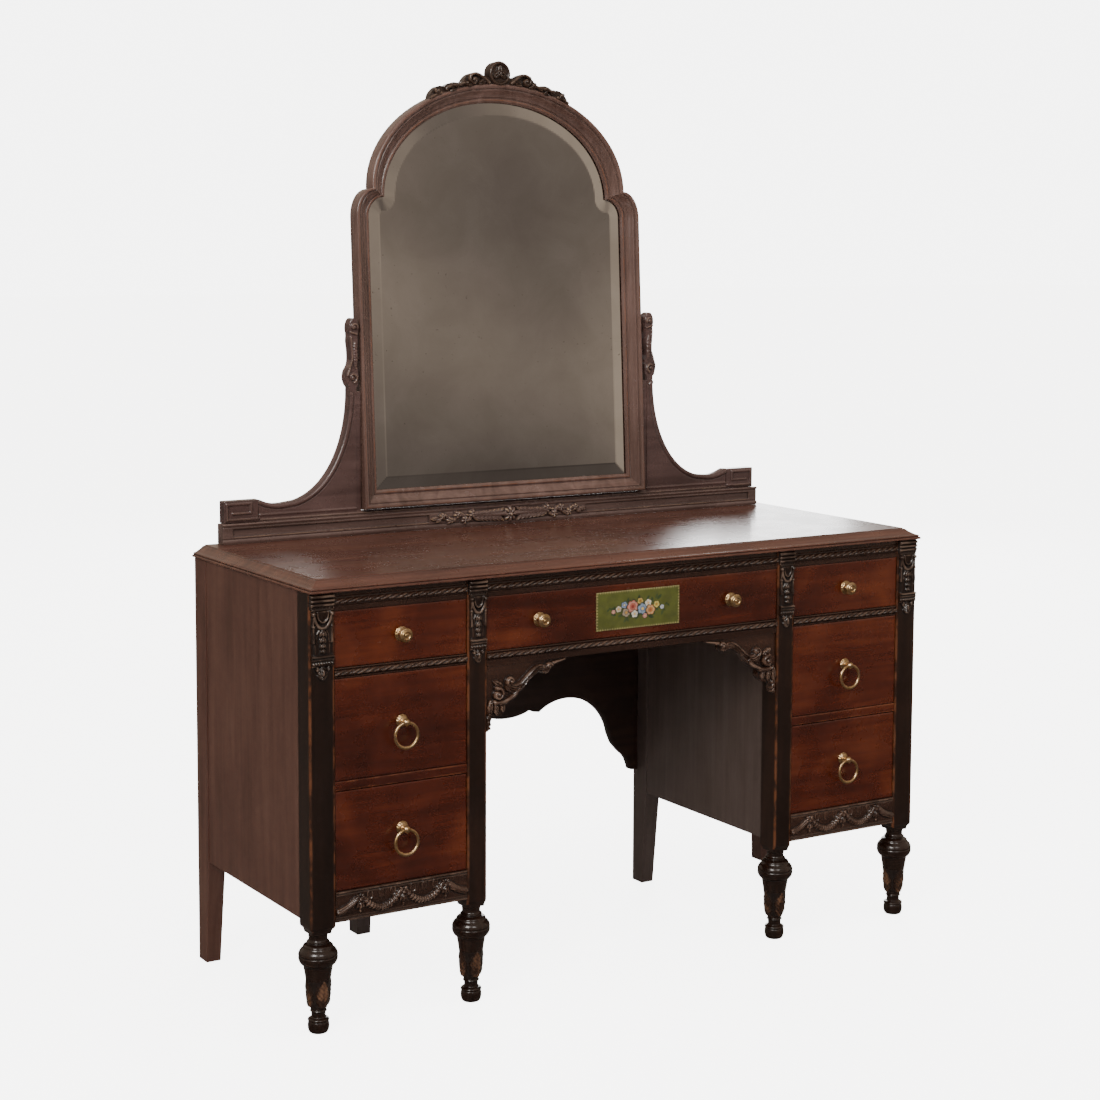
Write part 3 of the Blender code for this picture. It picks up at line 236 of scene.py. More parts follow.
class Field:
    """A carved front: heights over a grid in X and Z, raised and cut by the carver's strokes."""

    def __init__(self, span, step, mask=None):
        x0, x1, z0, z1 = span
        self.xs = np.linspace(x0, x1, max(2, ceil((x1 - x0) / step) + 1))
        self.zs = np.linspace(z0, z1, max(2, ceil((z1 - z0) / step) + 1))
        self.step = step
        self.X, self.Z = np.meshgrid(self.xs, self.zs, indexing="ij")
        self.kept = np.ones((len(self.xs) - 1, len(self.zs) - 1), bool)
        if mask is not None:
            inside = mask(self.X, self.Z) > 0
            self.kept = inside[:-1, :-1] & inside[1:, :-1] & inside[:-1, 1:] & inside[1:, 1:]
            self.snap(mask)
        self.H = np.zeros(self.X.shape)

    def snap(self, mask):
        """Moves the outline's vertices on to the mask's zero line."""
        padded = np.pad(self.kept, 1)
        around = padded[:-1, :-1].astype(int) + padded[1:, :-1] + padded[:-1, 1:] + padded[1:, 1:]
        edge = (around > 0) & (around < 4)
        small = self.step * 0.25
        for _ in range(3):
            x, z = self.X[edge], self.Z[edge]
            f = mask(x, z)
            gx = (mask(x + small, z) - mask(x - small, z)) / (2 * small)
            gz = (mask(x, z + small) - mask(x, z - small)) / (2 * small)
            size = np.maximum(gx * gx + gz * gz, 0.25)
            limit = self.step * 0.8
            self.X[edge] = x - np.clip(f * gx / size, -limit, limit)
            self.Z[edge] = z - np.clip(f * gz / size, -limit, limit)

    def window(self, x0, x1, z0, z1):
        more = 2 * self.step
        i = np.searchsorted(self.xs, [x0 - more, x1 + more])
        j = np.searchsorted(self.zs, [z0 - more, z1 + more])
        return (slice(*i), slice(*j))

    def lift(self, w, value):
        self.H[w] = np.maximum(self.H[w], value)

    def stroke(self, points, width, height, end=None, base=0.0, soft=0.5):
        """A rounded ridge along a line, or a groove if height is negative; `end` is the last
        width, and a low `soft` makes the top flat."""
        p = np.asarray(points, float)
        end = width if end is None else end
        wide = max(width, end)
        w = self.window(p[:, 0].min() - wide, p[:, 0].max() + wide,
                        p[:, 1].min() - wide, p[:, 1].max() + wide)
        x, z = self.X[w], self.Z[w]
        best = np.zeros(x.shape)
        lengths = np.hypot(*np.diff(p, axis=0).T)
        along = np.concatenate([[0], np.cumsum(lengths)]) / max(lengths.sum(), 1e-9)
        for i in range(len(p) - 1):
            (ax, az), (bx, bz) = p[i], p[i + 1]
            dx, dz = bx - ax, bz - az
            t = np.clip(((x - ax) * dx + (z - az) * dz) / max(dx * dx + dz * dz, 1e-12), 0, 1)
            d = np.hypot(x - ax - t * dx, z - az - t * dz)
            wide_here = width + (end - width) * (along[i] + (along[i + 1] - along[i]) * t)
            value = np.clip(1 - (d / np.maximum(wide_here, 1e-5)) ** 2, 0, 1) ** soft
            best = np.maximum(best, value * (0.55 + 0.45 * wide_here / wide))
        if height < 0:
            self.H[w] += best * height
        else:
            self.lift(w, np.where(best > 0, base + best * height, -1.0))

    def bump(self, x, z, rx, rz, height, turn=0.0, base=0.0, soft=0.5):
        reach = max(rx, rz)
        w = self.window(x - reach, x + reach, z - reach, z + reach)
        dx, dz = self.X[w] - x, self.Z[w] - z
        u = (dx * cos(turn) + dz * sin(turn)) / rx
        v = (-dx * sin(turn) + dz * cos(turn)) / rz
        value = np.clip(1 - u * u - v * v, 0, 1) ** soft
        self.lift(w, np.where(value > 0, base + value * height, -1.0))

    def flower(self, x, z, radius, petals, height, base=0.0, phase=0.0):
        w = self.window(x - radius, x + radius, z - radius, z + radius)
        dx, dz = self.X[w] - x, self.Z[w] - z
        r = np.hypot(dx, dz) / radius
        lobe = np.abs(np.cos(petals / 2 * (np.arctan2(dz, dx) + phase)))
        edge = 0.62 + 0.38 * lobe ** 0.6
        dome = np.clip(1 - (r / edge) ** 2, 0, 1) ** 0.5
        value = dome * (0.45 + 0.55 * lobe ** 0.7) * (0.55 + 0.9 * np.clip(r, 0, 0.5))
        value = np.maximum(value, 0.95 * np.clip(1 - (r / 0.30) ** 2, 0, 1) ** 0.5)
        self.lift(w, np.where(value > 0, base + value * height, -1.0))

    def curl(self, x, z, radius, start, turns, width, height, base=0.0):
        """A volute that winds inwards from `start` (degrees); positive turns go anticlockwise."""
        count = max(10, int(abs(turns) * 22))
        t = np.linspace(0, 1, count)
        angle = radians(start) + 2 * pi * turns * t
        r = (radius - width) * (1 - 0.86 * t ** 0.85)
        line = np.stack([x + r * np.cos(angle), z + r * np.sin(angle)], -1)
        self.stroke(line, width, height, width * 0.75, base)
        self.bump(x, z, width * 1.25, width * 1.25, height * 1.1, base=base)

    def leaf(self, foot, tip, width, height, lobes=4, bend=0.0, base=0.0, veins=0.35):
        """An acanthus leaf from foot to tip, with a lobed edge, a middle rib and side veins."""
        (x0, z0), (x1, z1) = foot, tip
        length = hypot(x1 - x0, z1 - z0)
        ux, uz = (x1 - x0) / length, (z1 - z0) / length
        reach = width + abs(bend)
        w = self.window(min(x0, x1) - reach, max(x0, x1) + reach,
                        min(z0, z1) - reach, max(z0, z1) + reach)
        dx, dz = self.X[w] - x0, self.Z[w] - z0
        s = (dx * ux + dz * uz) / length
        inside = np.clip(s, 0, 1)
        t = -dx * uz + dz * ux - bend * np.sin(pi * inside)
        shape = np.sin(pi * np.clip(inside * 0.92 + 0.06, 0, 1)) ** 0.7
        notch = np.abs(np.cos(pi * lobes * (inside + 0.35 * np.abs(t) / width))) ** 0.5
        half = width * shape * (0.70 + 0.30 * notch)
        dome = np.clip(1 - (t / np.maximum(half, 1e-5)) ** 2, 0, 1) ** 0.5
        vein = np.abs(np.cos(pi * 2 * lobes * (inside - 0.6 * np.abs(t) / width)))
        rib = np.exp(-(t / (0.16 * width)) ** 2)
        value = dome * (1 - veins * (1 - vein ** 0.7)) * (0.75 + 0.25 * shape) * (1 - 0.30 * rib)
        value = np.where((s < 0) | (s > 1), 0, value)
        self.lift(w, np.where(value > 0.02, base + value * height, -1.0))

    def beads(self, start, end, pitch, radius, height, base=0.0):
        (x0, z0), (x1, z1) = start, end
        count = max(1, round(hypot(x1 - x0, z1 - z0) / pitch))
        for i in range(count + 1):
            t = i / count
            self.bump(x0 + (x1 - x0) * t, z0 + (z1 - z0) * t, radius, radius, height, base=base)

    def blurred(self, radius):
        h = self.H
        for _ in range(2):
            for axis in (0, 1):
                padded = np.pad(h, [(radius, radius) if a == axis else (0, 0) for a in (0, 1)],
                                mode="edge")
                total = np.zeros_like(h)
                for shift in range(2 * radius + 1):
                    cut = [slice(None), slice(None)]
                    cut[axis] = slice(shift, shift + h.shape[axis])
                    total += padded[tuple(cut)]
                h = total / (2 * radius + 1)
        return h

    def solid(self, shape, front, back, place=None, mirror=False, contrast=0.0011):
        """Adds the carving to a shape, from the plane y=front back to y=back."""
        nx, nz = self.X.shape
        radius = max(1, round(0.0022 / self.step))
        # Points above their surroundings get a high rub level, rubbed finish and painted
        # highlight; points below them get a low one, grime and painted shade.
        rub_and_light = np.clip(0.5 + (self.H - self.blurred(radius)) / contrast, 0, 1)
        used = np.zeros((nx, nz), bool)
        for a in (slice(None, -1), slice(1, None)):
            for b in (slice(None, -1), slice(1, None)):
                used[a, b] |= self.kept
        index = np.full((nx, nz), -1)
        index[used] = np.arange(used.sum())
        count = int(used.sum())
        x, z, h = self.X[used], self.Z[used], self.H[used]
        fronts = np.stack([x, front - h, z], -1)
        backs = np.stack([x, np.full_like(x, back), z], -1)
        i, j = np.nonzero(self.kept)
        quads = np.stack([index[i, j], index[i + 1, j], index[i + 1, j + 1], index[i, j + 1]], -1)
        padded = np.pad(self.kept, 1)
        skirts = []
        for di, dj, a, b in ((0, -1, 0, 1), (1, 0, 1, 2), (0, 1, 2, 3), (-1, 0, 3, 0)):
            open_side = ~padded[i + 1 + di, j + 1 + dj]
            skirts.append(quads[open_side][:, [b, a]])
        skirt = np.vstack(skirts)
        sides = np.hstack([skirt, skirt[:, ::-1] + count])
        faces = np.vstack([quads, quads[:, ::-1] + count, sides])
        points = np.vstack([fronts, backs])
        if mirror:
            points[:, 0] *= -1
            faces = faces[:, ::-1]
        if place is not None:
            points = np.array([place(*p) for p in points])
        rub_and_light_values = np.concatenate([rub_and_light[used], np.full(count, 0.5)])
        return shape.add(points, faces.tolist(), rub_and_light_values)


def line_distance(points):
    """Distance to an open line, as a function of x and z."""
    p = np.asarray(points, float)

    def distance(x, z):
        near = np.full(np.shape(x), 1e9)
        for (ax, az), (bx, bz) in zip(p[:-1], p[1:]):
            dx, dz = bx - ax, bz - az
            t = np.clip(((x - ax) * dx + (z - az) * dz) / max(dx * dx + dz * dz, 1e-14), 0, 1)
            near = np.minimum(near, (x - ax - t * dx) ** 2 + (z - az - t * dz) ** 2)
        return np.sqrt(near)

    return distance


def polygon_distance(outline):
    """Signed distance to a closed outline, positive inside."""
    ring = np.vstack([outline, outline[:1]])
    near = line_distance(ring)

    def distance(x, z):
        inside = np.zeros(np.shape(x), bool)
        for (ax, az), (bx, bz) in zip(ring[:-1], ring[1:]):
            rise = bz - az if abs(bz - az) > 1e-12 else 1e-12
            inside ^= ((az > z) != (bz > z)) & (x < ax + (z - az) * (bx - ax) / rise)
        return np.where(inside, 1, -1) * near(x, z)

    return distance


# ---------------------------------------------------------------- materials
class Tree:
    """Short hands for building the nodes of one material or world."""

    def __init__(self, holder):
        self.material = holder
        holder.use_nodes = True
        self.tree = holder.node_tree
        self.shader = self.tree.nodes.get("Principled BSDF")
        self.places = self.node("ShaderNodeTexCoord").outputs
        self.object = self.places["Object"]

    def node(self, kind, inputs=None, **settings):
        made = self.tree.nodes.new(kind)
        for key, value in settings.items():
            setattr(made, key, value)
        for key, value in (inputs or {}).items():
            self.put(made.inputs[key], value)
        return made

    def put(self, socket, value):
        if isinstance(value, bpy.types.NodeSocket):
            self.tree.links.new(value, socket)
        else:
            socket.default_value = value

    def stretched(self, scale):
        return self.node("ShaderNodeMapping",
                         {"Vector": self.object, "Scale": scale}).outputs["Vector"]

    def noise(self, scale, vector=None, detail=4.0, rough=0.55, distortion=0.0):
        made = self.node("ShaderNodeTexNoise", {
            "Vector": vector or self.object, "Scale": scale, "Detail": detail,
            "Roughness": rough, "Distortion": distortion})
        return made.outputs["Fac"]

    def math(self, operation, *values, clamp=False):
        made = self.node("ShaderNodeMath", dict(enumerate(values)), operation=operation,
                         use_clamp=clamp)
        return made.outputs[0]

    def remap(self, value, low, high, to_low=0.0, to_high=1.0):
        return self.node("ShaderNodeMapRange", {
            "Value": value, "From Min": low, "From Max": high, "To Min": to_low,
            "To Max": to_high}, interpolation_type="SMOOTHSTEP").outputs["Result"]

    def mix(self, factor, a, b, blend="MIX"):
        made = self.node("ShaderNodeMix", data_type="RGBA", blend_type=blend)
        self.put(made.inputs[0], factor)
        for socket, value in ((made.inputs[6], a), (made.inputs[7], b)):
            self.put(socket, (*value, 1.0) if isinstance(value, tuple) else value)
        return made.outputs[2]

    def grey(self, value):
        return self.node("ShaderNodeCombineColor", dict.fromkeys(
            ("Red", "Green", "Blue"), value)).outputs["Color"]

    def attribute(self, name, output="Fac"):
        return self.node("ShaderNodeAttribute", attribute_name=name).outputs[output]

    def ramp(self, value, stops):
        made = self.node("ShaderNodeValToRGB", {"Fac": value})      # starts with two stops
        elements = made.color_ramp.elements
        while len(elements) < len(stops):
            elements.new(0.5)
        for element, (place, colour) in zip(elements, stops):
            element.position = place
            element.color = (*colour, 1.0)
        return made.outputs["Color"]

    def finish(self, colour, roughness, bump=None, strength=0.2, distance=0.0005, **constants):
        self.put(self.shader.inputs["Base Color"], colour)
        self.put(self.shader.inputs["Roughness"], roughness)
        if bump is not None:
            made = self.node("ShaderNodeBump", {"Height": bump, "Strength": strength,
                                                "Distance": distance})
            self.put(self.shader.inputs["Normal"], made.outputs["Normal"])
        for key, value in constants.items():
            self.shader.inputs[key.replace("_", " ")].default_value = value
        return self.material


GRAIN = {"x": (1.0, 14.0, 14.0), "y": (14.0, 1.0, 14.0), "z": (14.0, 14.0, 1.0)}
# Dark mixed in where the rub level is low: grime and painted shade in hollows.
GRIME_AND_SHADE = (0.008, 0.005, 0.004)


def wood(name, tones, axis, rough, coat, figure, worn_and_highlight=None, rub_and_light_level=(0.62, 0.95), hollow_grime_and_shade=0.45,
         bump=0.18, scale=1.0):
    """Polished wood, its grain along an axis, in tones from dark to light.

    `worn_and_highlight` is the colour of rubbed finish and painted highlight, shown where the
    `rub_and_light` attribute is high, between the two values of `rub_and_light_level`; where it is
    low, grime and painted shade darken the wood, as strongly as `hollow_grime_and_shade` says.
    `figure` is the share of blotches."""
    t = Tree(bpy.data.materials.new(name))
    flow = t.stretched(tuple(s * scale for s in GRAIN[axis]))
    wander = t.noise(2.2, flow, 3.0, 0.5, 0.8)
    bands = t.noise(4.2, flow, 5.0, 0.55, 0.7)
    fine = t.stretched(tuple(4.0 * s for s in GRAIN[axis]))
    fibre = t.noise(22.0, fine, 3.0, 0.7)
    blotch = t.noise(6.0, None, 2.5, 0.50, 0.6)
    tone = t.math("ADD", t.math("MULTIPLY", bands, 0.65), t.math("MULTIPLY", wander, 0.35))
    tone = t.math("ADD", t.math("MULTIPLY", tone, 1.0 - figure),
                  t.math("MULTIPLY", blotch, figure))
    colour = t.ramp(tone, list(zip((0.32, 0.50, 0.70), tones)))
    colour = t.mix(1.0, colour, t.grey(t.remap(fibre, 0.30, 0.62, 0.86, 1.0)), "MULTIPLY")
    rough_map = t.remap(t.noise(18.0, None, 4.0, 0.6), 0.3, 0.7, rough - 0.02, rough + 0.05)
    if worn_and_highlight is not None:
        # High rub level: rubbed finish and painted highlight; low rub level: grime and painted
        # shade, rougher too.
        rub_and_light = t.attribute("rub_and_light")
        patchy = t.remap(t.noise(38.0, None, 4.0, 0.65), 0.40, 0.62, 0.12, 1.0)
        high = t.math("MULTIPLY", t.remap(rub_and_light, rub_and_light_level[0], rub_and_light_level[1]), patchy)
        colour = t.mix(t.math("MULTIPLY", high, 0.70), colour, worn_and_highlight)
        low = t.remap(rub_and_light, 0.44, 0.08, 0.0, hollow_grime_and_shade)
        colour = t.mix(low, colour, GRIME_AND_SHADE)
        rough_map = t.math("ADD", rough_map, t.math("MULTIPLY", low, 0.35), clamp=True)
    height = t.math("ADD", t.math("MULTIPLY", fibre, 0.6), t.math("MULTIPLY", bands, 0.4))
    return t.finish(colour, rough_map, height, bump, 0.0004, Coat_Weight=coat,
                    Coat_Roughness=0.16, Specular_IOR_Level=0.45)


# Colours of rubbed finish and painted highlight, shown where the rub level is high.
GOLD_WEAR_AND_HIGHLIGHT, ORANGE_WEAR_AND_HIGHLIGHT, BRIGHT_WEAR_AND_HIGHLIGHT = (0.150, 0.092, 0.062), (0.190, 0.058, 0.018), (0.340, 0.215, 0.120)
EBONY = (0.007, 0.0025, 0.0014), (0.013, 0.0050, 0.0026), (0.028, 0.010, 0.0052)
WOODS = {                       # name, tones, grain, rough, coat, figure, worn (rubbed finish and painted highlight), wear, hollow (grime and painted shade), bump
    "top": ("walnut_top", ((0.040, 0.014, 0.009), (0.075, 0.026, 0.016), (0.120, 0.045, 0.025)),
            "x", 0.27, 0.40, 0.20, (0.150, 0.062, 0.034), (0.60, 0.95), 0.5, 0.015),
    "front": ("walnut_front", ((0.018, 0.0028, 0.0010), (0.056, 0.0082, 0.0020),
                               (0.125, 0.025, 0.0058)),
              "x", 0.26, 0.45, 0.50, ORANGE_WEAR_AND_HIGHLIGHT, (0.62, 0.98), 0.5),
    "side": ("walnut_side", ((0.060, 0.024, 0.015), (0.090, 0.038, 0.025), (0.125, 0.057, 0.038)),
             "z", 0.42, 0.15, 0.20),
    "inner_side": ("walnut_inner_side", ((0.052, 0.034, 0.027), (0.074, 0.050, 0.041),
                                         (0.100, 0.070, 0.058)), "z", 0.36, 0.25, 0.25),
    "post": ("walnut_post", EBONY, "z", 0.30, 0.45, 0.3, GOLD_WEAR_AND_HIGHLIGHT, (0.60, 0.98), 0.6),
    "post_edge": ("walnut_post_edge", EBONY, "z", 0.30, 0.45, 0.3, ORANGE_WEAR_AND_HIGHLIGHT, (0.62, 1.06), 0.6),
    "rail": ("walnut_rail", ((0.012, 0.004, 0.002), (0.024, 0.009, 0.005), (0.046, 0.018, 0.010)),
             "x", 0.24, 0.5, 0.3, GOLD_WEAR_AND_HIGHLIGHT, (0.58, 0.92), 0.7),
    "carved": ("walnut_carved", ((0.012, 0.0055, 0.0035), (0.024, 0.0115, 0.0070),
                                 (0.046, 0.023, 0.014)),
               "x", 0.26, 0.5, 0.4, GOLD_WEAR_AND_HIGHLIGHT, (0.66, 1.0), 0.6),
    # Mirror frame and base rail: walnut tones lightened and greyed as painted sheen.
    "frame": ("walnut_frame", ((0.060, 0.031, 0.023), (0.105, 0.058, 0.045),
                               (0.160, 0.092, 0.073)),
              "z", 0.24, 0.6, 0.25, ORANGE_WEAR_AND_HIGHLIGHT, (0.66, 1.0), 0.5, 0.06),
    "frame_flat": ("walnut_frame_flat", ((0.050, 0.028, 0.022), (0.096, 0.056, 0.046),
                                         (0.150, 0.094, 0.076)),
                   "x", 0.26, 0.5, 0.25, BRIGHT_WEAR_AND_HIGHLIGHT, (0.70, 1.0), 0.6, 0.06),
    "oak": ("oak_box", ((0.130, 0.075, 0.036), (0.260, 0.160, 0.085), (0.380, 0.255, 0.145)),
            "y", 0.60, 0.0, 0.25),
    "back": ("back_board", ((0.050, 0.028, 0.017), (0.100, 0.058, 0.036), (0.160, 0.100, 0.064)),
             "z", 0.62, 0.0, 0.35),
    "bracket": ("walnut_bracket", ((0.014, 0.0055, 0.0030), (0.032, 0.013, 0.0075),
                                   (0.064, 0.026, 0.014)),
                "x", 0.24, 0.55, 0.4, (0.200, 0.120, 0.082), (0.58, 0.95), 0.7),
    # Kneehole board: dark walnut, its tones darkened further as painted shade inside the kneehole.
    "knee": ("walnut_knee", ((0.014, 0.0060, 0.0036), (0.028, 0.012, 0.0075),
                             (0.050, 0.022, 0.013)), "x", 0.40, 0.2, 0.35, ORANGE_WEAR_AND_HIGHLIGHT, (0.72, 1.0)),
    # Standards: walnut tones lightened and greyed as painted sheen.
    "wing": ("walnut_wing", ((0.040, 0.020, 0.017), (0.078, 0.042, 0.036),
                             (0.125, 0.070, 0.060)),
             "x", 0.26, 0.5, 0.3, GOLD_WEAR_AND_HIGHLIGHT, (0.64, 0.98), 0.5, 0.06),
    "leg": ("walnut_leg", EBONY, "z", 0.22, 0.5, 0.3, (0.200, 0.092, 0.046), (0.58, 0.92), 0.6),
}
FRONT_TONES = (0.018, 0.0028, 0.0010), (0.060, 0.0086, 0.0020), (0.130, 0.026, 0.0060)
FRONT_SCALES = (1.0, 1.13)      # of the grain, turn about, so that no two fronts in a row match


def make_materials():
    looks = {look: wood(*values) for look, values in WOODS.items()}
    for number, scale in enumerate(FRONT_SCALES):
        looks[f"front_{number}"] = wood(f"walnut_front_{number}", FRONT_TONES,
                                        *WOODS["front"][2:], scale=scale)
    looks.update(brass=brass(), glass=silvered(), picture=painted())
    return looks


def brass():
    t = Tree(bpy.data.materials.new("aged_brass_worn"))
    patch = t.noise(120.0, None, 4.0, 0.6)
    grime = t.remap(t.noise(300.0, None, 3.0, 0.6), 0.35, 0.62, 0.0, 1.0)
    colour = t.ramp(patch, [(0.30, (0.46, 0.30, 0.115)), (0.50, (0.76, 0.52, 0.28)),
                            (0.70, (0.92, 0.69, 0.44))])
    colour = t.mix(t.math("MULTIPLY", grime, 0.25), colour, (0.20, 0.13, 0.07))
    colour = t.mix(t.remap(t.attribute("rub_and_light"), 0.45, 0.1, 0.0, 0.7), colour, (0.07, 0.045, 0.02))
    rough = t.remap(patch, 0.3, 0.7, 0.42, 0.24)
    return t.finish(colour, rough, grime, 0.12, 0.0002, Metallic=1.0)


def silvered():
    """Old mirror: silvering a little grey, with a faint haze and some foxing."""
    t = Tree(bpy.data.materials.new("old_silvering"))
    haze = t.noise(9.0, None, 4.0, 0.6, 0.4)
    spots = t.remap(t.noise(140.0, None, 2.0, 0.5), 0.70, 0.78, 0.0, 1.0)
    colour = t.ramp(haze, [(0.30, (0.66, 0.64, 0.61)), (0.70, (0.78, 0.765, 0.74))])
    colour = t.mix(t.math("MULTIPLY", spots, 0.45), colour, (0.16, 0.13, 0.10))
    rough = t.remap(haze, 0.35, 0.7, 0.02, 0.055)
    return t.finish(colour, t.math("ADD", rough, t.math("MULTIPLY", spots, 0.2)), None,
                    Metallic=1.0)


def painted():
    t = Tree(bpy.data.materials.new("painted_flowers"))
    paint = t.attribute("paint", "Color")
    crackle = t.node("ShaderNodeTexVoronoi", {"Vector": t.object, "Scale": 260.0},
                     feature="DISTANCE_TO_EDGE").outputs["Distance"]
    crack = t.remap(crackle, 0.0, 0.05, 1.0, 0.0)
    tone = t.remap(t.noise(60.0, None, 4.0, 0.6), 0.3, 0.7, 0.80, 1.12)
    colour = t.mix(1.0, paint, t.grey(tone), "MULTIPLY")
    colour = t.mix(t.math("MULTIPLY", crack, 0.25), colour, (0.03, 0.025, 0.01))
    rough = t.remap(t.noise(90.0, None, 3.0, 0.6), 0.3, 0.7, 0.30, 0.46)
    return t.finish(colour, rough, crackle, 0.10, 0.0002, Coat_Weight=0.35, Coat_Roughness=0.2)


LOOKS = make_materials()

# ---------------------------------------------------------------- table top
def make_top():
    """Two beads at the lip, a cove and the small step of the flat field, with mitred corners."""
    edge = smooth_line([
        (0.0034, 0.0000), (0.0006, 0.0010), (0.0000, 0.0026), (0.0008, 0.0044), (0.0034, 0.0052),
        (0.0028, 0.0060), (0.0024, 0.0070), (0.0034, 0.0084), (0.0062, 0.0092), (0.0092, 0.0104),
        (0.0125, 0.0124), (0.0160, 0.0146), (0.0190, 0.0170), (0.0215, 0.0190), (0.0238, 0.0193),
        (0.0246, 0.0200), (0.0252, 0.0210)], 4)
    half = top_high.x
    corner = 0.0022
    sections, rub_and_light_values = [], []
    for inset, height in edge:
        x, front = half - inset, top_low.y + inset
        z = max(min(TOP_UNDER + height, TOP_Z), TOP_UNDER)
        loop = [(-x, top_high.y, z)]
        for side in (-1, 1):
            for angle in (pi / 8 * k for k in range(5)):
                a, b = (cos(angle), sin(angle))[::-side]
                loop.append((side * (x - corner + corner * a), front + corner - corner * b, z))
        loop.append((x, top_high.y, z))
        sections.append(loop)
        # Bead crowns get the worn colour, rubbed finish and painted highlight; the grooves get
        # grime and painted shade.
        proud = peaks(height, (0.0026, 0.0016, 1), (0.0070, 0.0012, 0.9), (0.0140, 0.0050, 0.55))
        groove = peaks(height, (0.0053, 0.0010, 1), (0.0192, 0.0008, 0.8))
        rub_and_light_values.append([0.5 + 0.42 * proud - 0.45 * groove] * len(loop))
    Shape().loft(sections, rub_and_light_values).make("moulded_top", "top", "case", "top_walnut",
                                      ["table_top"], 30)


# ---------------------------------------------------------------- posts and legs
LEG = [(0.0000, 0.205), (0.0160, 0.205), (0.0160, 0.172), (0.0162, 0.1665), (0.0156, 0.1620),
       (0.0160, 0.1590), (0.0172, 0.1572), (0.0190, 0.1556), (0.0176, 0.1538), (0.0182, 0.1525),
       (0.0225, 0.1508), (0.0248, 0.1490), (0.0256, 0.1466), (0.0268, 0.1446), (0.0296, 0.1420),
       (0.0316, 0.1390), (0.0326, 0.1362), (0.0331, 0.1338), (0.0322, 0.1322), (0.0330, 0.1300),
       (0.0328, 0.1262), (0.0314, 0.1222), (0.0292, 0.1188),
       (0.0268, 0.1166), (0.0248, 0.1150), (0.0244, 0.1118), (0.0234, 0.1060), (0.0218, 0.0960),
       (0.0202, 0.0840), (0.0188, 0.0700), (0.0178, 0.0580), (0.0168, 0.0500), (0.0152, 0.0448),
       (0.0138, 0.0418), (0.0124, 0.0400), (0.0138, 0.0382), (0.0142, 0.0370), (0.0124, 0.0352),
       (0.0120, 0.0318), (0.0120, 0.0285), (0.0126, 0.0262), (0.0158, 0.0250), (0.0178, 0.0232),
       (0.0180, 0.0212), (0.0168, 0.0196), (0.0174, 0.0180), (0.0181, 0.0140), (0.0180, 0.0090),
       (0.0168, 0.0040), (0.0150, 0.0010), (0.0135, 0.0000), (0.0000, 0.0000)]
LEAF_FOOT, LEAF_RISE, LEAF_DEPTH = 0.0455, 0.0900 - 0.0455, 0.0034


def leg_carving(height, angle, _):
    """Four acanthus leaves round the lower vase: a high rub level on the leaves for rubbed finish
    and painted highlight, a low one on the ground between them and in the turning's grooves for
    grime and painted shade.
    """
    turn = angle + pi / 2
    sector = (turn + pi / 4) % (pi / 2) - pi / 4
    rise = np.clip((height - LEAF_FOOT) / LEAF_RISE, 0, 1)
    inside = (height > LEAF_FOOT) & (height < LEAF_FOOT + LEAF_RISE + 0.0005)
    shape = np.sin(pi * np.clip(rise * 0.80 + 0.16, 0, 1)) ** 0.8
    notch = np.abs(np.cos(pi * 3.0 * (rise - 0.35 * np.abs(sector)))) ** 0.5
    half = 0.74 * shape * (0.66 + 0.34 * notch)
    dome = np.clip(1 - (sector / np.maximum(half, 1e-4)) ** 2, 0, 1) ** 0.5
    vein = np.abs(np.cos(pi * 5 * (rise - 0.55 * np.abs(sector))))
    rib = np.exp(-(sector / 0.10) ** 2)
    leaf = dome * (0.60 + 0.40 * vein) * (1 - 0.25 * rib) * inside
    rub_and_light_level = 0.5 - peaks(height, (0.1538, 0.0012, 0.4), (0.0352, 0.0012, 0.4), (0.0196, 0.0012, 0.4),
                       (0.1150, 0.0020, 0.4), (0.1322, 0.0010, 0.4))
    carved = np.where(leaf > 0.05, 0.42 + 0.50 * leaf, 0.22)
    return LEAF_DEPTH * leaf, np.where(inside, carved, rub_and_light_level)


def post_section(half, depth, z, cut):
    """A square section with rounded front corners, and extra points that hold the rub level:
    rubbed finish and painted highlight on the corners.
    """
    points, rub_and_light = [], []
    keep = min(0.0045, half * 0.4)
    for side in (-1, 1):
        stretch = [(side * half, -depth + cut + keep, z)]
        stretch += [(side * (half - cut + cut * cos(a)), -depth + cut - cut * sin(a), z)
                    for a in (pi / 8 * k for k in range(5))]
        stretch.append((side * (half - cut - keep), -depth, z))
        marks = [0.5] + [0.92] * 5 + [0.46]
        if side > 0:
            stretch, marks = stretch[::-1], marks[::-1]
        points += stretch
        rub_and_light += marks
    points += [(half, depth, z), (-half, depth, z)]
    rub_and_light += [0.6, 0.6]
    return points, rub_and_light


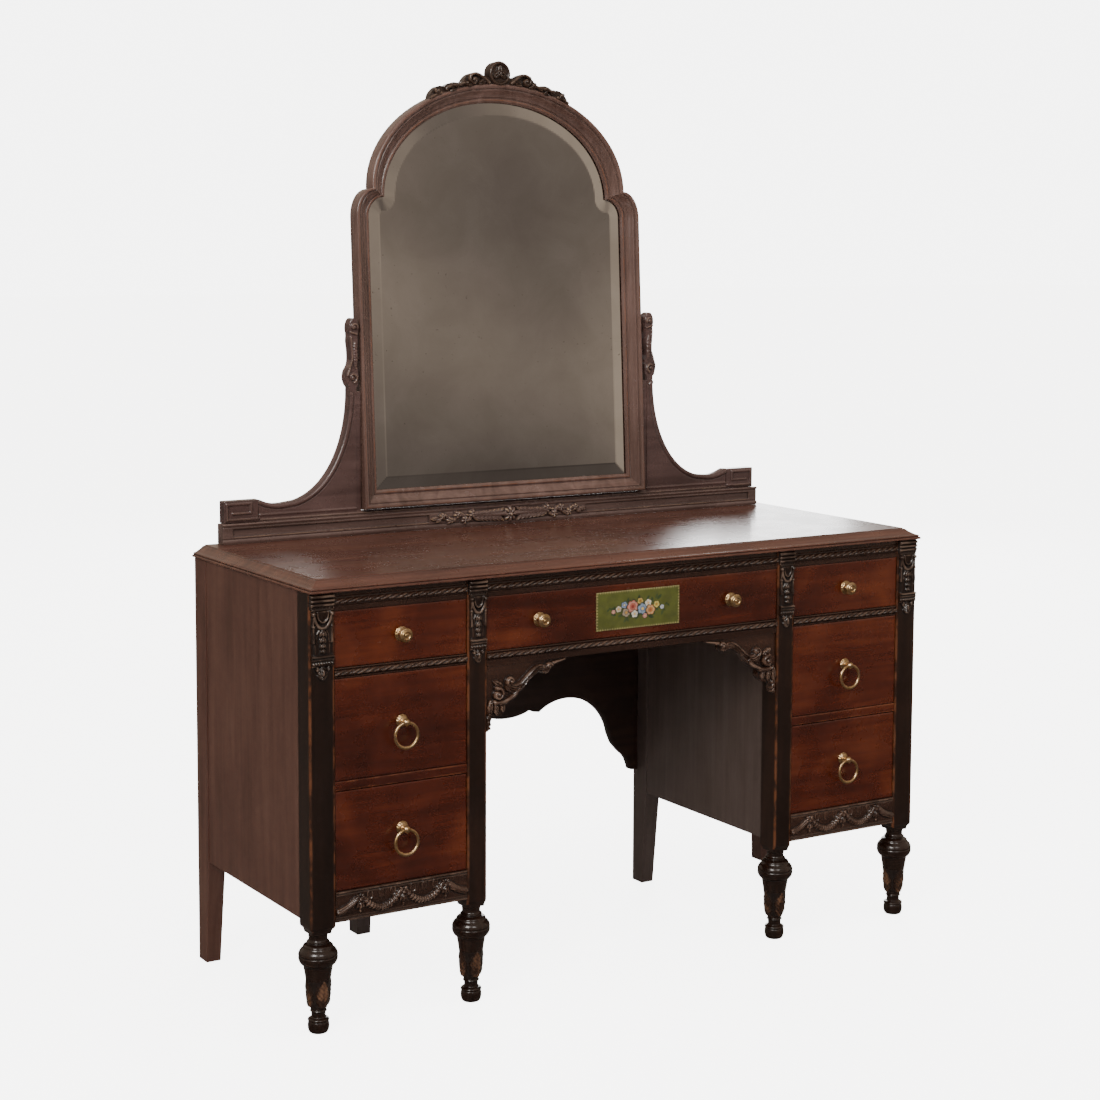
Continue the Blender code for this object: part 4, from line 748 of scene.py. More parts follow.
def make_posts():
    cove = [(0.0172, 0.0172, 0.1700), (0.0174, 0.0174, 0.1722), (0.0180, 0.0178, 0.1748),
            (0.0194, 0.0188, 0.1772), (0.0214, 0.0202, 0.1790), (0.0226, 0.0212, 0.1810),
            (0.0230, 0.0215, 0.1840), (0.0230, 0.0215, 0.1900)]
    for name, side in SIDES:
        for place, width, x in (("outer", OUTER_POST, CASE_HALF - OUTER_POST / 2),
                                ("inner", INNER_POST, KNEE_HALF + INNER_POST / 2)):
            middle = Vector((side * x, CASE_FRONT + POST_DEPTH / 2, 0))
            sections, rub_and_light_values = [], []
            levels = cove + [(0.0230, 0.0215, 0.594), (0.0230, 0.0215, TOP_UNDER - SKIN)]
            for half, depth, z in levels:
                points, rub_and_light = post_section(min(half, width / 2), depth, z, 0.0024)
                sections.append([(middle.x + a, middle.y + b, c) for a, b, c in points])
                rub_and_light_values.append(rub_and_light if z > 0.176 else [0.5] * len(rub_and_light))
            Shape().loft(sections, rub_and_light_values).make(
                f"square_post_{name}_{place}", "post_edge", "case", "post_walnut",
                [f"front_post_{name}_{place}"], 40)
            line = np.vstack([LEG[0], smooth_line(LEG[1:-1], 4), LEG[-1]])
            Shape().turned(line, 96, Matrix.Translation(middle), leg_carving).make(
                f"turned_leg_{name}_{place}", "leg", "case", "post_walnut", (), 50)
            make_pilaster(f"pilaster_{name}_{place}", side * x, width)


def make_pilaster(name, x, width):
    """Reeded cap, ribbon drape with tassels and bell-flowers, shelf, and a small leaf drop."""
    k = width / OUTER_POST
    half = width / 2 - 0.0034
    shape = Shape()
    f = Field((-half, half, 0.5960, TOP_UNDER - SKIN), 0.00085)

    def taper(X, Z):
        share = np.clip((0.7150 - Z) / 0.081, 0, 1)
        return half * (0.96 - 0.24 * share) - np.abs(X)

    panel = np.clip(taper(f.X, f.Z) / 0.0016, 0, 1)
    panel[f.Z < 0.6370] = 0
    f.H = 0.0004 + 0.0024 * panel

    def drape(half_width, top, foot, power, thick, proud, base):
        line = [(-half_width * k * cos(a), top - (top - foot) * sin(a) ** power)
                for a in np.linspace(0, pi, 25)]
        f.stroke(line, thick, proud, base=base)

    sag = np.clip((0.7110 - f.Z) / 0.0170, 0, 2)
    inner = np.clip(1 - (f.X / (0.0098 * k)) ** 2 - sag ** 2, 0, 1)
    f.H += 0.0034 * inner ** 0.5 * (f.Z < 0.7125)
    drape(0.0098, 0.7110, 0.6935, 0.8, 0.0013, 0.0030, 0.0036)
    drape(0.0150, 0.7090, 0.6835, 0.9, 0.0034, 0.0046, 0.0018)
    drape(0.0122, 0.7100, 0.6890, 0.9, 0.0009, -0.0016, 0.0)
    for side in (-1, 1):
        tassel = side * 0.0163 * k
        f.bump(tassel, 0.7075, 0.0042, 0.0042, 0.0076, base=0.001)
        f.stroke([(tassel, 0.7050), (tassel + side * 0.0004, 0.6850)], 0.0016, 0.0040, base=0.0008)
        f.stroke([(tassel, 0.6850), (tassel, 0.6620)], 0.0019, 0.0052, 0.0034, base=0.0008)
        f.bump(tassel, 0.6868, 0.0030, 0.0026, 0.0064, base=0.0008)
        for shift in (-0.0012, 0.0012):
            f.stroke([(tassel + shift, 0.6800), (tassel + 1.8 * shift, 0.6610)], 0.0005, -0.0014)
        f.stroke([(side * 0.0035 * k, 0.6850), (side * 0.0100 * k, 0.6740),
                  (side * 0.0115 * k, 0.6600)], 0.0013, 0.0030, 0.0007, base=0.0022)
    f.stroke([(0, 0.6830), (0, 0.6440)], 0.0011, 0.0020, base=0.0022)
    for z, size in ((0.6770, 1.30), (0.6655, 1.20), (0.6555, 1.05), (0.6468, 0.90)):
        for side in (-1, 1):
            f.leaf((0, z + 0.0036 * size), (side * 0.0046 * size * k, z - 0.0052 * size),
                   0.0026 * size, 0.0050, 1, base=0.0022, veins=0.1)
        f.bump(0, z - 0.0022 * size, 0.0019 * size, 0.0034 * size, 0.0060, base=0.0022)
    f.stroke([(-half, 0.7136), (half, 0.7136)], 0.0013, 0.0026, base=0.0016)
    block = (f.Z > 0.6190) & (f.Z < 0.6392)
    shelf = 0.0044 * np.clip((0.6392 - f.Z) / 0.0008, 0, 1)
    shelf = shelf * np.clip((f.Z - 0.6190) / 0.0020, 0, 1)
    f.H = np.where(block, np.maximum(f.H, 0.0004 + shelf), f.H)
    f.stroke([(-half, 0.6365), (half, 0.6365)], 0.0019, 0.0034, base=0.0040)
    f.stroke([(-half, 0.6315), (half, 0.6315)], 0.0014, 0.0026, base=0.0040)
    f.beads((-half + 0.0026, 0.6256), (half - 0.0026, 0.6256), 0.0052, 0.0025, 0.0034, 0.0036)
    f.leaf((0, 0.6205), (0, 0.5972), 0.0108 * k, 0.0066, 3, base=RELIEF, veins=0.55)
    f.bump(0, 0.6100, 0.0030, 0.0080, 0.0084, base=RELIEF)
    for side in (-1, 1):
        f.curl(side * 0.0104 * k, 0.6156, 0.0056, 90, side * 0.8, 0.0018, 0.0058, base=RELIEF)
    f.solid(shape, CASE_FRONT - 0.0002, CASE_FRONT + 0.002, contrast=0.0022)
    cap = Field((-width / 2 + 0.0008, width / 2 - 0.0008, 0.7152, TOP_UNDER - 0.0014), 0.0008)
    away = width / 2 - 0.0008 - np.abs(cap.X)
    ends = np.clip(away / 0.0020, 0, 1) ** 0.5
    for z, radius, out in ((0.7358, 0.0033, 0.0018), (0.7288, 0.0031, 0.0010),
                           (0.7220, 0.0029, 0.0)):
        round_ = np.clip(1 - ((cap.Z - z) / radius) ** 2, 0, 1) ** 0.5
        cap.H = np.maximum(cap.H, round_ * (0.0042 + out) * ends)
    cap.H += 0.0012 * ends
    for number in range(7):
        place = (-0.5 + (number + 0.5) / 7) * width
        cap.stroke([(place, 0.7166), (place, 0.7188)], 0.0014, 0.0022, base=0.0010)
    cap.solid(shape, CASE_FRONT - 0.0008, CASE_FRONT + 0.003, contrast=0.0030)
    shape.points = [(p[0] + x, p[1], p[2]) for p in shape.points]
    shape.make(name, "post", "case", "post_walnut", (), 60)


# ---------------------------------------------------------------- rails
def rope_front(shape, low, high, foot, head, middle, lines=0.0066):
    """The face of a rail with a slanted rope bead between two thin lines."""
    f = Field((low, high, foot, head), 0.0009)
    edge = np.minimum(f.Z - foot, head - f.Z)
    f.H -= 0.0010 * np.clip(1 - edge / 0.0012, 0, 1) ** 2
    across = (f.Z - middle) / 0.0046
    round_ = np.clip(1 - across ** 2, 0, 1) ** 0.5
    pitch = (high - low) / round((high - low) / 0.0150)
    phase = (f.X - low) / pitch - 0.48 * across
    strand = np.abs(np.sin(pi * phase)) ** 0.7
    f.H = np.maximum(f.H, 0.0050 * round_ * (0.25 + 0.75 * strand))
    for side in (-1, 1):
        z = middle + side * lines
        if foot + 0.001 < z < head - 0.001:
            f.stroke([(low, z), (high, z)], 0.0009, 0.0008)
            f.stroke([(low, z - side * 0.0014), (high, z - side * 0.0014)], 0.0006, -0.0008)
    f.solid(shape, FACE_Y, FACE_Y + 0.003, contrast=0.0034)


def rail_shape(low, high, foot, head, board):
    """The rail's own bar and the dust board behind it."""
    shape = Shape()
    shape.board((low, FACE_Y + 0.0026, foot + 0.0002), (high, POST_BACK + 0.004, head - 0.0002))
    shelf_top = head - 0.0005
    shape.board((board[0], POST_BACK + 0.0044, shelf_top - 0.0065),
                (board[1], REAR_LEG_FRONT - SKIN, shelf_top), 0.0006)
    if board[0] * board[1] > 0:
        shape.board((board[0] + 0.034, REAR_LEG_FRONT - SKIN * 2, shelf_top - 0.0065),
                    (board[1] - 0.034, CASE_BACK - 0.0084, shelf_top), 0.0006)
    return shape


def make_rails():
    shape = Shape()
    frieze_low, frieze_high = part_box("frieze_rail")
    foot, head = frieze_low.z, TOP_UNDER - SKIN
    shape.board((frieze_low.x, POST_BACK + SKIN, foot), (frieze_high.x, frieze_high.y, head))
    spans = [(-KNEE_HALF, KNEE_HALF)]
    spans += [tuple(sorted((s * OPENING_OUTER, s * OPENING_INNER))) for _, s in SIDES]
    for low, high in spans:
        low, high = low + SKIN, high - SKIN
        shape.board((low, FACE_Y + 0.0026, foot + 0.0002),
                    (high, POST_BACK + 0.001, head - 0.0002))
        rope_front(shape, low, high, foot, head, (foot + TOP_UNDER) / 2, lines=0.0085)
    shape.make("roped_frieze", "rail", "case", "post_walnut", ["frieze_rail"], 60)

    for name, side in SIDES:
        low, high = sorted((side * OPENING_OUTER, side * OPENING_INNER))
        low, high = low + SKIN, high - SKIN
        inside = sorted((side * (KNEE_HALF + PANEL_INSET), side * (CASE_HALF - PANEL_INSET)))
        for node, look, slot, kind in (("rope_rail", "rail", "post_walnut", "rope"),
                                       ("divider_rail", "front", "front_walnut", "plain"),
                                       ("swag_rail", "bracket", "carved_walnut", "swag")):
            node = f"{node}_{name}"
            box_low, box_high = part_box(node)
            foot, head = box_low.z, box_high.z
            shape = rail_shape(low, high, foot, head, inside)
            if kind == "rope":
                rope_front(shape, low, high, foot, head, head - 0.0085)
            elif kind == "plain":
                f = Field((low, high, foot, head), 0.0011)
                edge = np.minimum(f.Z - foot, head - f.Z)
                f.H -= 0.0016 * np.clip(1 - edge / 0.0018, 0, 1) ** 2
                f.solid(shape, FACE_Y, FACE_Y + 0.003, contrast=0.0012)
            else:
                swag_front(shape, low, high, foot, head)
            shape.make(f"{kind}_rail_{name}", look, "case", slot, [node], 60)

    box_low, box_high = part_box("centre_rail")
    shape = rail_shape(-KNEE_HALF + SKIN, KNEE_HALF - SKIN, box_low.z, box_high.z,
                       (-KNEE_HALF - 0.0016, KNEE_HALF + 0.0016))
    rope_front(shape, -KNEE_HALF + SKIN, KNEE_HALF - SKIN, box_low.z, box_high.z,
               box_high.z - 0.0085)
    shape.make("centre_rope_rail", "rail", "case", "post_walnut", ["centre_rail"], 60)


def swag_front(shape, low, high, foot, head):
    """Two whole and two half garlands, bell drops under their peaks, and lines above and below."""
    middle = (low + high) / 2
    f = Field((low, high, foot, head), 0.0009)
    f.H += RELIEF
    for z, width, height in ((head - 0.0022, 0.0018, 0.0022), (head - 0.0070, 0.0012, 0.0014),
                             (foot + 0.0022, 0.0018, 0.0020), (foot + 0.0066, 0.0009, 0.0010)):
        f.stroke([(low, z), (high, z)], width, height, base=RELIEF)
    peak, dip = foot + 0.0400, foot + 0.0145
    for x in (-0.0405, 0.0405):
        for shift in (-0.0215, 0.0, 0.0215):
            f.stroke([(middle + x + shift, head - 0.0160), (middle + x + shift, head - 0.0105)],
                     0.0056, 0.0030, base=0.0004, soft=0.25)
    for x in (-0.0620, -0.0190, 0.0190, 0.0620):
        f.stroke([(middle + x, head - 0.0162), (middle + x, head - 0.0105)], 0.0040, -0.0026,
                 soft=0.3)

    def garland(x0, x1, z0, z1, sag):
        t = np.linspace(0, 1, 15)
        line = np.stack([x0 + (x1 - x0) * t, z0 + (z1 - z0) * t - sag * 4 * t * (1 - t)], -1)
        f.stroke(line, 0.0048, 0.0056, base=0.0008)
        for i in range(1, 14):
            (ax, az), (bx, bz) = line[i - 1], line[i]
            size = 0.0036 + 0.0014 * sin(pi * i / 14)
            f.bump(bx, bz, size, size * 0.80, 0.0042, base=0.0042)
            nx, nz = -(bz - az), bx - ax
            long = max(hypot(nx, nz), 1e-6)
            for side in (-1, 1):
                f.bump(bx + side * nx / long * 0.0038, bz + side * nz / long * 0.0038, 0.0023,
                       0.0021, 0.0040, base=0.0020)

    for x in (-0.0405, 0.0405):
        garland(middle + x - 0.0355, middle + x + 0.0355, peak - 0.004, peak - 0.004,
                peak - dip - 0.004)
    for side in (-1, 1):
        garland(middle + side * 0.0860, middle + side * 0.1235, peak - 0.004, dip + 0.003, 0.004)
    for x in (middle - 0.0810, middle, middle + 0.0810):
        for side in (-1, 1):
            f.curl(x + side * 0.0054, peak - 0.0018, 0.0058, 90, side * 0.7, 0.0019, 0.0056,
                   base=0.0010)
            f.leaf((x, peak - 0.0080), (x + side * 0.0066, peak - 0.0200), 0.0036, 0.0056, 1,
                   base=0.0010, veins=0.1)
            f.leaf((x + side * 0.002, peak - 0.0060), (x + side * 0.0110, peak - 0.0120), 0.0032,
                   0.0050, 1, base=0.0010, veins=0.1)
        f.bump(x, peak - 0.0060, 0.0036, 0.0036, 0.0070, base=0.0010)
        f.bump(x, peak - 0.0160, 0.0028, 0.0066, 0.0070, base=0.0010)
        f.bump(x, peak - 0.0255, 0.0019, 0.0030, 0.0050, base=0.0010)
    f.solid(shape, FACE_Y - 0.0002, FACE_Y + 0.003, contrast=0.0026)


# ---------------------------------------------------------------- brackets and knee board
def make_brackets():
    """Veneered spandrels with a scrolled and leafy border along their lower edge."""
    out, head = KNEE_HALF - SKIN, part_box("corner_bracket_right")[1].z
    edge = smooth_line([
        (0.0000, 0.1161), (0.0060, 0.1130), (0.0086, 0.1080), (0.0100, 0.0990), (0.0132, 0.0915),
        (0.0180, 0.0885), (0.0260, 0.0890), (0.0350, 0.0850), (0.0410, 0.0760), (0.0395, 0.0660),
        (0.0440, 0.0625), (0.0520, 0.0600), (0.0620, 0.0545), (0.0725, 0.0430), (0.0815, 0.0320),
        (0.0930, 0.0235), (0.1050, 0.0190), (0.1110, 0.0215), (0.1170, 0.0252), (0.1236, 0.0240),
        (0.1280, 0.0180), (0.1285, 0.0118), (0.1380, 0.0091), (0.1460, 0.0052), (0.1546, 0.0056),
        (0.1625, 0.0030), (0.1656, 0.0002)], 4)
    outline = [(out - a, head - b) for a, b in edge] + [(out, head)]
    mask = polygon_distance(outline)
    f = Field((out - 0.1660, out, head - 0.1165, head), 0.0009, mask)

    def at(across, down):
        return (out - across, head - down)

    ribbon = smooth_line([at(0.1200, 0.0165), at(0.1050, 0.0135), at(0.0920, 0.0195),
                          at(0.0800, 0.0300), at(0.0680, 0.0400), at(0.0560, 0.0440),
                          at(0.0450, 0.0400)], 5)
    f.stroke(ribbon, 0.0072, 0.0086, 0.0088, base=RELIEF)
    for share in (-1.0, 0.0, 1.0):
        f.stroke(ribbon[3:] + share * np.array((-0.0013, 0.0036)), 0.0008, -0.0030)
    f.stroke([at(0.1330, 0.0070), at(0.1580, 0.0028)], 0.0036, 0.0060, 0.0014)
    f.curl(*at(0.1240, 0.0120), 0.0092, 160, -1.15, 0.0034, 0.0100, base=RELIEF)
    f.stroke(smooth_line([at(0.0640, 0.0440), at(0.0540, 0.0550), at(0.0430, 0.0620),
                          at(0.0300, 0.0660), at(0.0160, 0.0640)], 5), 0.0044, 0.0092, 0.0050,
             base=RELIEF)
    f.curl(*at(0.0470, 0.0300), 0.0118, 300, 1.15, 0.0038, 0.0104, base=RELIEF)
    f.curl(*at(0.0215, 0.0500), 0.0150, 80, 1.35, 0.0044, 0.0118, base=RELIEF)
    f.leaf(at(0.0320, 0.0380), at(0.0130, 0.0270), 0.0058, 0.0078, 2, base=RELIEF)
    f.leaf(at(0.0300, 0.0640), at(0.0330, 0.0830), 0.0060, 0.0080, 2, base=RELIEF)
    f.leaf(at(0.0180, 0.0640), at(0.0190, 0.0860), 0.0062, 0.0084, 2, base=RELIEF)
    f.leaf(at(0.0080, 0.0600), at(0.0055, 0.0890), 0.0060, 0.0080, 3, base=RELIEF)
    for z, size in ((0.0900, 0.0062), (0.0985, 0.0052), (0.1065, 0.0040)):
        for aside, fall in ((0.0090, 0.006), (0.0010, 0.007)):
            f.leaf((out - 0.0045, head - z + 0.004), (out - aside, head - z - fall), size * 0.55,
                   0.0048, 1, base=0.0004, veins=0.2)
        f.bump(out - 0.0048, head - z, 0.0022, 0.0044, 0.0056)
    low_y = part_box("corner_bracket_right")[0].y
    for name, side in SIDES:
        shape = Shape()
        f.solid(shape, low_y + 0.0006, low_y + 0.0136, mirror=side < 0, contrast=0.0034)
        shape.make(f"scrolled_bracket_{name}", "bracket", "case", "carved_walnut",
                   [f"corner_bracket_{name}"], 60)


def make_knee_board():
    """Scalloped board: a centre drop between two arches, with a soft rounded edge."""
    low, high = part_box("kneehole_back_board")
    end, arch = high.x, 0.400
    right = [(KNEE_HALF * 0.241 * sin(a), arch + 0.012 - 0.038 * cos(a))
             for a in np.linspace(0, radians(45), 8)]
    right.append((KNEE_HALF * 0.193, arch - 0.019))
    right += [(KNEE_HALF * (0.444 + 0.328 * cos(a)), arch - 0.100 + 0.100 * sin(a))
              for a in np.linspace(radians(128), radians(10), 34)]
    spandrel = [(0.0626, 0.104), (0.0486, 0.120), (0.0316, 0.136), (0.0236, 0.152),
                (0.0186, 0.164), (0.0000, 0.166)]
    right += [(end - a, arch - b) for a, b in smooth_line(spandrel, 4)]
    right += [(end, high.z)]
    outline = [(-x, z) for x, z in reversed(right)][:-1] + right
    mask = polygon_distance(outline)
    f = Field((low.x, high.x, low.z, high.z), 0.0032, mask)
    f.H -= 0.0014 * np.clip(1 - mask(f.X, f.Z) / 0.0034, 0, 1) ** 2
    shape = Shape()
    f.solid(shape, low.y, high.y, contrast=0.0030)
    shape.make("scalloped_board", "knee", "case", "case_walnut",
               ["kneehole_back_board"], 50)


# ---------------------------------------------------------------- drawers
def make_fronts():
    """Veneered drawer fronts with rounded edges."""
    names = ["drawer_centre"]
    names += [f"drawer_{name}_{level}" for name, _ in SIDES
              for level in ("top", "middle", "bottom")]
    for number, name in enumerate(names):
        low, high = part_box(name + "_front")
        f = Field((low.x, high.x, low.z, high.z), 0.0016)
        edge = np.minimum.reduce([f.X - low.x, high.x - f.X, f.Z - low.z, high.z - f.Z])
        # The lowered border gets a low rub level: grime and painted shade along the edges.
        f.H -= 0.0008 * np.clip(1 - edge / 0.0013, 0, 1)
        shape = Shape()
        f.solid(shape, FACE_Y, FACE_Y + 0.006, contrast=0.0030)
        shape.board((low.x + 0.0004, FACE_Y + 0.0055, low.z + 0.0004),
                    (high.x - 0.0004, high.y, high.z - 0.0004), 0.0008)
        look = "front" if number == 0 else f"front_{number % 2}"
        shape.make(f"veneered_front_{name[7:]}", look, name, "front_walnut",
                   [name + "_front"], 50)


def make_picture():
    """The painted panel: loose generic blossoms and leaves on olive green, in a gilt border."""
    low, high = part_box("painted_panel")
    f = Field((low.x, high.x, low.z, high.z), 0.00065)
    cx, cz = (low.x + high.x) / 2, (low.z + high.z) / 2
    x, z = f.X - cx, f.Z - cz
    wide, tall = (high.x - low.x) / 2, (high.z - low.z) / 2
    ripple = 0.02 * np.sin(x * 310 + 3 * np.sin(z * 170)) + 0.02 * np.sin(z * 420 + x * 90)
    shade = 1.0 + ripple - 1.1 * np.abs(x) - 3.0 * np.clip(-z, 0, 1)
    colour = np.stack([0.082 * shade, 0.088 * shade, 0.0120 * shade], -1)

    def paint(value, tone):
        nonlocal colour
        value = np.clip(value, 0, 1)[..., None]
        colour = colour * (1 - value) + np.array(tone) * value

    def petals(px, pz, radius, count, tone, centre, phase):
        r = np.hypot(x - px, (z - pz) * 1.08) / radius
        angle = np.arctan2(z - pz, x - px) + phase
        edge = 0.72 + 0.28 * np.abs(np.cos(angle * count / 2)) ** 0.7
        shadow = np.clip((1.22 * edge - r) * 9, 0, 1)
        paint(shadow * 0.85, (0.012, 0.022, 0.010))
        body = np.clip((edge - r) * 12, 0, 1)
        folds = 0.68 + 0.32 * np.abs(np.cos(angle * count / 2)) + 0.15 * np.cos(r * 9)
        paint(body, tone)
        paint(body * np.clip(1.0 - folds, 0, 0.6), tuple(c * 0.35 for c in tone))
        paint(body * np.clip(1 - np.abs(r - 0.66) * 6, 0, 1) * 0.16, (0.86, 0.82, 0.72))
        paint(np.clip((0.30 - r) * 10, 0, 1), centre)

    def frond(px, pz, length, turn, tone):
        u = (x - px) * cos(turn) + (z - pz) * sin(turn)
        v = -(x - px) * sin(turn) + (z - pz) * cos(turn)
        s = np.clip(u / length, 0, 1)
        half = 0.22 * length * np.sin(pi * s) ** 0.8
        inside = np.where((u > 0) & (u < length), (half - np.abs(v)) * 1600, 0)
        paint(np.clip(inside, 0, 1) * 0.9, tone)
        paint(np.clip(inside, 0, 1) * np.clip(1 - np.abs(v) * 2600, 0, 1) * 0.4,
              (0.085, 0.105, 0.040))

    random = np.random.default_rng(7)
    for number in range(70):
        far = random.normal(0, 0.024)
        frond(max(-0.060, min(0.060, far)), random.uniform(-0.017, 0.015),
              random.uniform(0.008, 0.015), random.uniform(0, 2 * pi),
              ((0.010, 0.024, 0.010), (0.018, 0.036, 0.012), (0.036, 0.052, 0.016))[number % 3])
    for side in (-1, 1):
        for step in range(7):
            frond(side * (0.034 + 0.0045 * step), 0.004 * sin(step * 1.3), 0.0085,
                  pi / 2 * (1 - side) + side * (0.7 if step % 2 else -0.7), (0.018, 0.034, 0.010))
    blooms = [(-0.030, 0.010, 0.0070, 5, (0.16, 0.22, 0.36), (0.60, 0.46, 0.14)),
              (-0.026, -0.007, 0.0092, 5, (0.36, 0.25, 0.15), (0.50, 0.24, 0.04)),
              (-0.012, 0.005, 0.0128, 7, (0.54, 0.15, 0.09), (0.20, 0.02, 0.01)),
              (-0.008, -0.012, 0.0076, 5, (0.70, 0.62, 0.48), (0.50, 0.30, 0.06)),
              (0.004, 0.016, 0.0066, 5, (0.58, 0.36, 0.04), (0.30, 0.10, 0.02)),
              (0.009, -0.002, 0.0112, 6, (0.22, 0.30, 0.42), (0.62, 0.40, 0.10)),
              (0.021, 0.010, 0.0076, 5, (0.70, 0.60, 0.44), (0.56, 0.26, 0.06)),
              (0.026, -0.006, 0.0104, 6, (0.58, 0.24, 0.06), (0.26, 0.06, 0.02)),
              (0.039, 0.005, 0.0070, 5, (0.56, 0.40, 0.05), (0.30, 0.10, 0.02)),
              (-0.042, 0.002, 0.0066, 5, (0.52, 0.42, 0.28), (0.50, 0.24, 0.04)),
              (-0.053, -0.003, 0.0044, 5, (0.56, 0.20, 0.16), (0.60, 0.46, 0.16)),
              (0.051, -0.002, 0.0046, 5, (0.50, 0.52, 0.56), (0.60, 0.46, 0.16)),
              (0.014, -0.018, 0.0052, 5, (0.60, 0.20, 0.16), (0.60, 0.46, 0.16))]
    for px, pz, radius, count, tone, centre in blooms:
        petals(px, pz * 0.8, radius, count, tuple(0.72 * c for c in tone), centre, px * 40)
    edge = np.minimum(wide - np.abs(x), tall - np.abs(z))
    along = np.where(wide - np.abs(x) < tall - np.abs(z), z, x)
    teeth = 0.0006 + 0.0034 * np.abs(np.sin(along * pi / 0.0052)) ** 3
    paint(np.clip((teeth - edge) * 2500, 0, 1), (0.30, 0.24, 0.09))
    paint(np.clip(1 - edge * 1200, 0, 1) * 0.7, (0.05, 0.045, 0.012))
    f.H -= 0.0006 * np.clip(1 - edge / 0.0009, 0, 1)
    f.H += 0.00012 * np.clip(colour.mean(-1) * 3, 0, 1)
    shape = Shape()
    f.solid(shape, low.y + 0.0002, high.y)
    made = shape.make("flower_panel", "picture", "drawer_centre", "picture_green",
                      ["painted_panel"], 60)
    layer = made.data.color_attributes.new("paint", "FLOAT_COLOR", "POINT")
    flat = np.concatenate([colour, np.ones(colour.shape[:2] + (1,))], -1).reshape(-1, 4)
    layer.data.foreach_set("color", np.clip(np.vstack([flat, flat]), 0, 1).reshape(-1))


# ---------------------------------------------------------------- brass
FRONTWARD = Matrix.Rotation(pi / 2, 4, "X")
PLATE_STEPS, RING_STEPS, WIRE_STEPS = 72, 72, 14


def petalled(count, low, high, amount):
    """Lobes pressed into a turned plate between two heights, for Shape.turned."""
    def radial(height, angle, radius):
        band = np.clip((height - low) / 0.0006, 0, 1) * np.clip((high - height) / 0.0006, 0, 1)
        lobe = np.abs(np.cos(angle * count / 2)) ** 0.6
        rim = np.clip(radius / 0.010, 0, 1)
        return -amount * band * (1 - lobe) * rim, 0.5 - 0.35 * band * (1 - lobe) * rim
    return radial


def on_front(node):
    """Turns a profile's axis to the front, at the middle of a CAD node's back."""
    low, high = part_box(node)
    return Matrix.Translation(((low.x + high.x) / 2, high.y, (low.z + high.z) / 2)) @ FRONTWARD


def make_hardware():
    """Twelve-petalled knobs, and swinging rings that hang from their eyes."""
    knob = smooth_line([(0.0002, 0.0206), (0.0026, 0.0205), (0.0036, 0.0190), (0.0048, 0.0189),
                        (0.0060, 0.0202), (0.0076, 0.0203), (0.0088, 0.0186), (0.0098, 0.0184),
                        (0.0113, 0.0176), (0.0124, 0.0156), (0.0121, 0.0140), (0.0104, 0.0126),
                        (0.0074, 0.0114), (0.0052, 0.0098), (0.0046, 0.0076), (0.0052, 0.0056),
                        (0.0078, 0.0044), (0.0092, 0.0040), (0.0098, 0.0032), (0.0114, 0.0024),
                        (0.0120, 0.0012), (0.0120, 0.0000), (0.0002, 0.0000)], 4)
    knob = np.vstack([[0, knob[0][1]], knob, [0, knob[-1][1]]])
    eye = smooth_line([(0.0002, 0.0222), (0.0026, 0.0218), (0.0050, 0.0200), (0.0064, 0.0176),
                       (0.0066, 0.0156), (0.0058, 0.0128), (0.0044, 0.0106), (0.0040, 0.0070),
                       (0.0046, 0.0054), (0.0072, 0.0046), (0.0086, 0.0036), (0.0096, 0.0028),
                       (0.0105, 0.0016), (0.0105, 0.0000), (0.0002, 0.0000)], 4)
    eye = np.vstack([[0, eye[0][1]], eye, [0, eye[-1][1]]])
    knobs = [(f"knob_{n}", f"drawer_{n}_top") for n, _ in SIDES]
    knobs += [(f"knob_centre_{n}", "drawer_centre") for n, _ in SIDES]
    for node, body in knobs:
        plate = petalled(12, 0.0004, 0.0030, 0.0012)
        Shape().turned(knob, PLATE_STEPS, on_front(node), plate).make(
            f"brass_{node}", "brass", body, "aged_brass", [node], 40)
    for name, _ in SIDES:
        for level in ("middle", "bottom"):
            node = f"ring_eye_{name}_{level}"
            plate = petalled(10, 0.0004, 0.0034, 0.0016)
            Shape().turned(eye, PLATE_STEPS, on_front(node), plate).make(
                f"brass_{node}", "brass", f"drawer_{name}_{level}", "aged_brass", [node], 40)
            ring = f"ring_{name}_{level}"
            low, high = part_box(ring)
            middle = (low + high) / 2
            radius = (high.x - low.x) / 2 - 0.0036
            middle.z += 0.0008
            sections = []
            for i in range(RING_STEPS):
                a = 2 * pi * i / RING_STEPS
                wire = 0.0028 + 0.0004 * (0.5 - 0.5 * sin(a)) ** 2
                if abs(i - RING_STEPS * 3 // 4) <= 1:
                    wire *= 1.1             # the swell at the foot of the ring
                loop = []
                for b in (2 * pi * k / WIRE_STEPS for k in range(WIRE_STEPS)):
                    reach = radius + wire * cos(b)
                    loop.append((middle.x + reach * cos(a), middle.y + wire * sin(b),
                                 middle.z + reach * sin(a)))
                sections.append(loop)
            Shape().loft(sections, ring=True).make(
                f"brass_{ring}", "brass", ring, "aged_brass", [ring], 60)


# ---------------------------------------------------------------- mirror stand

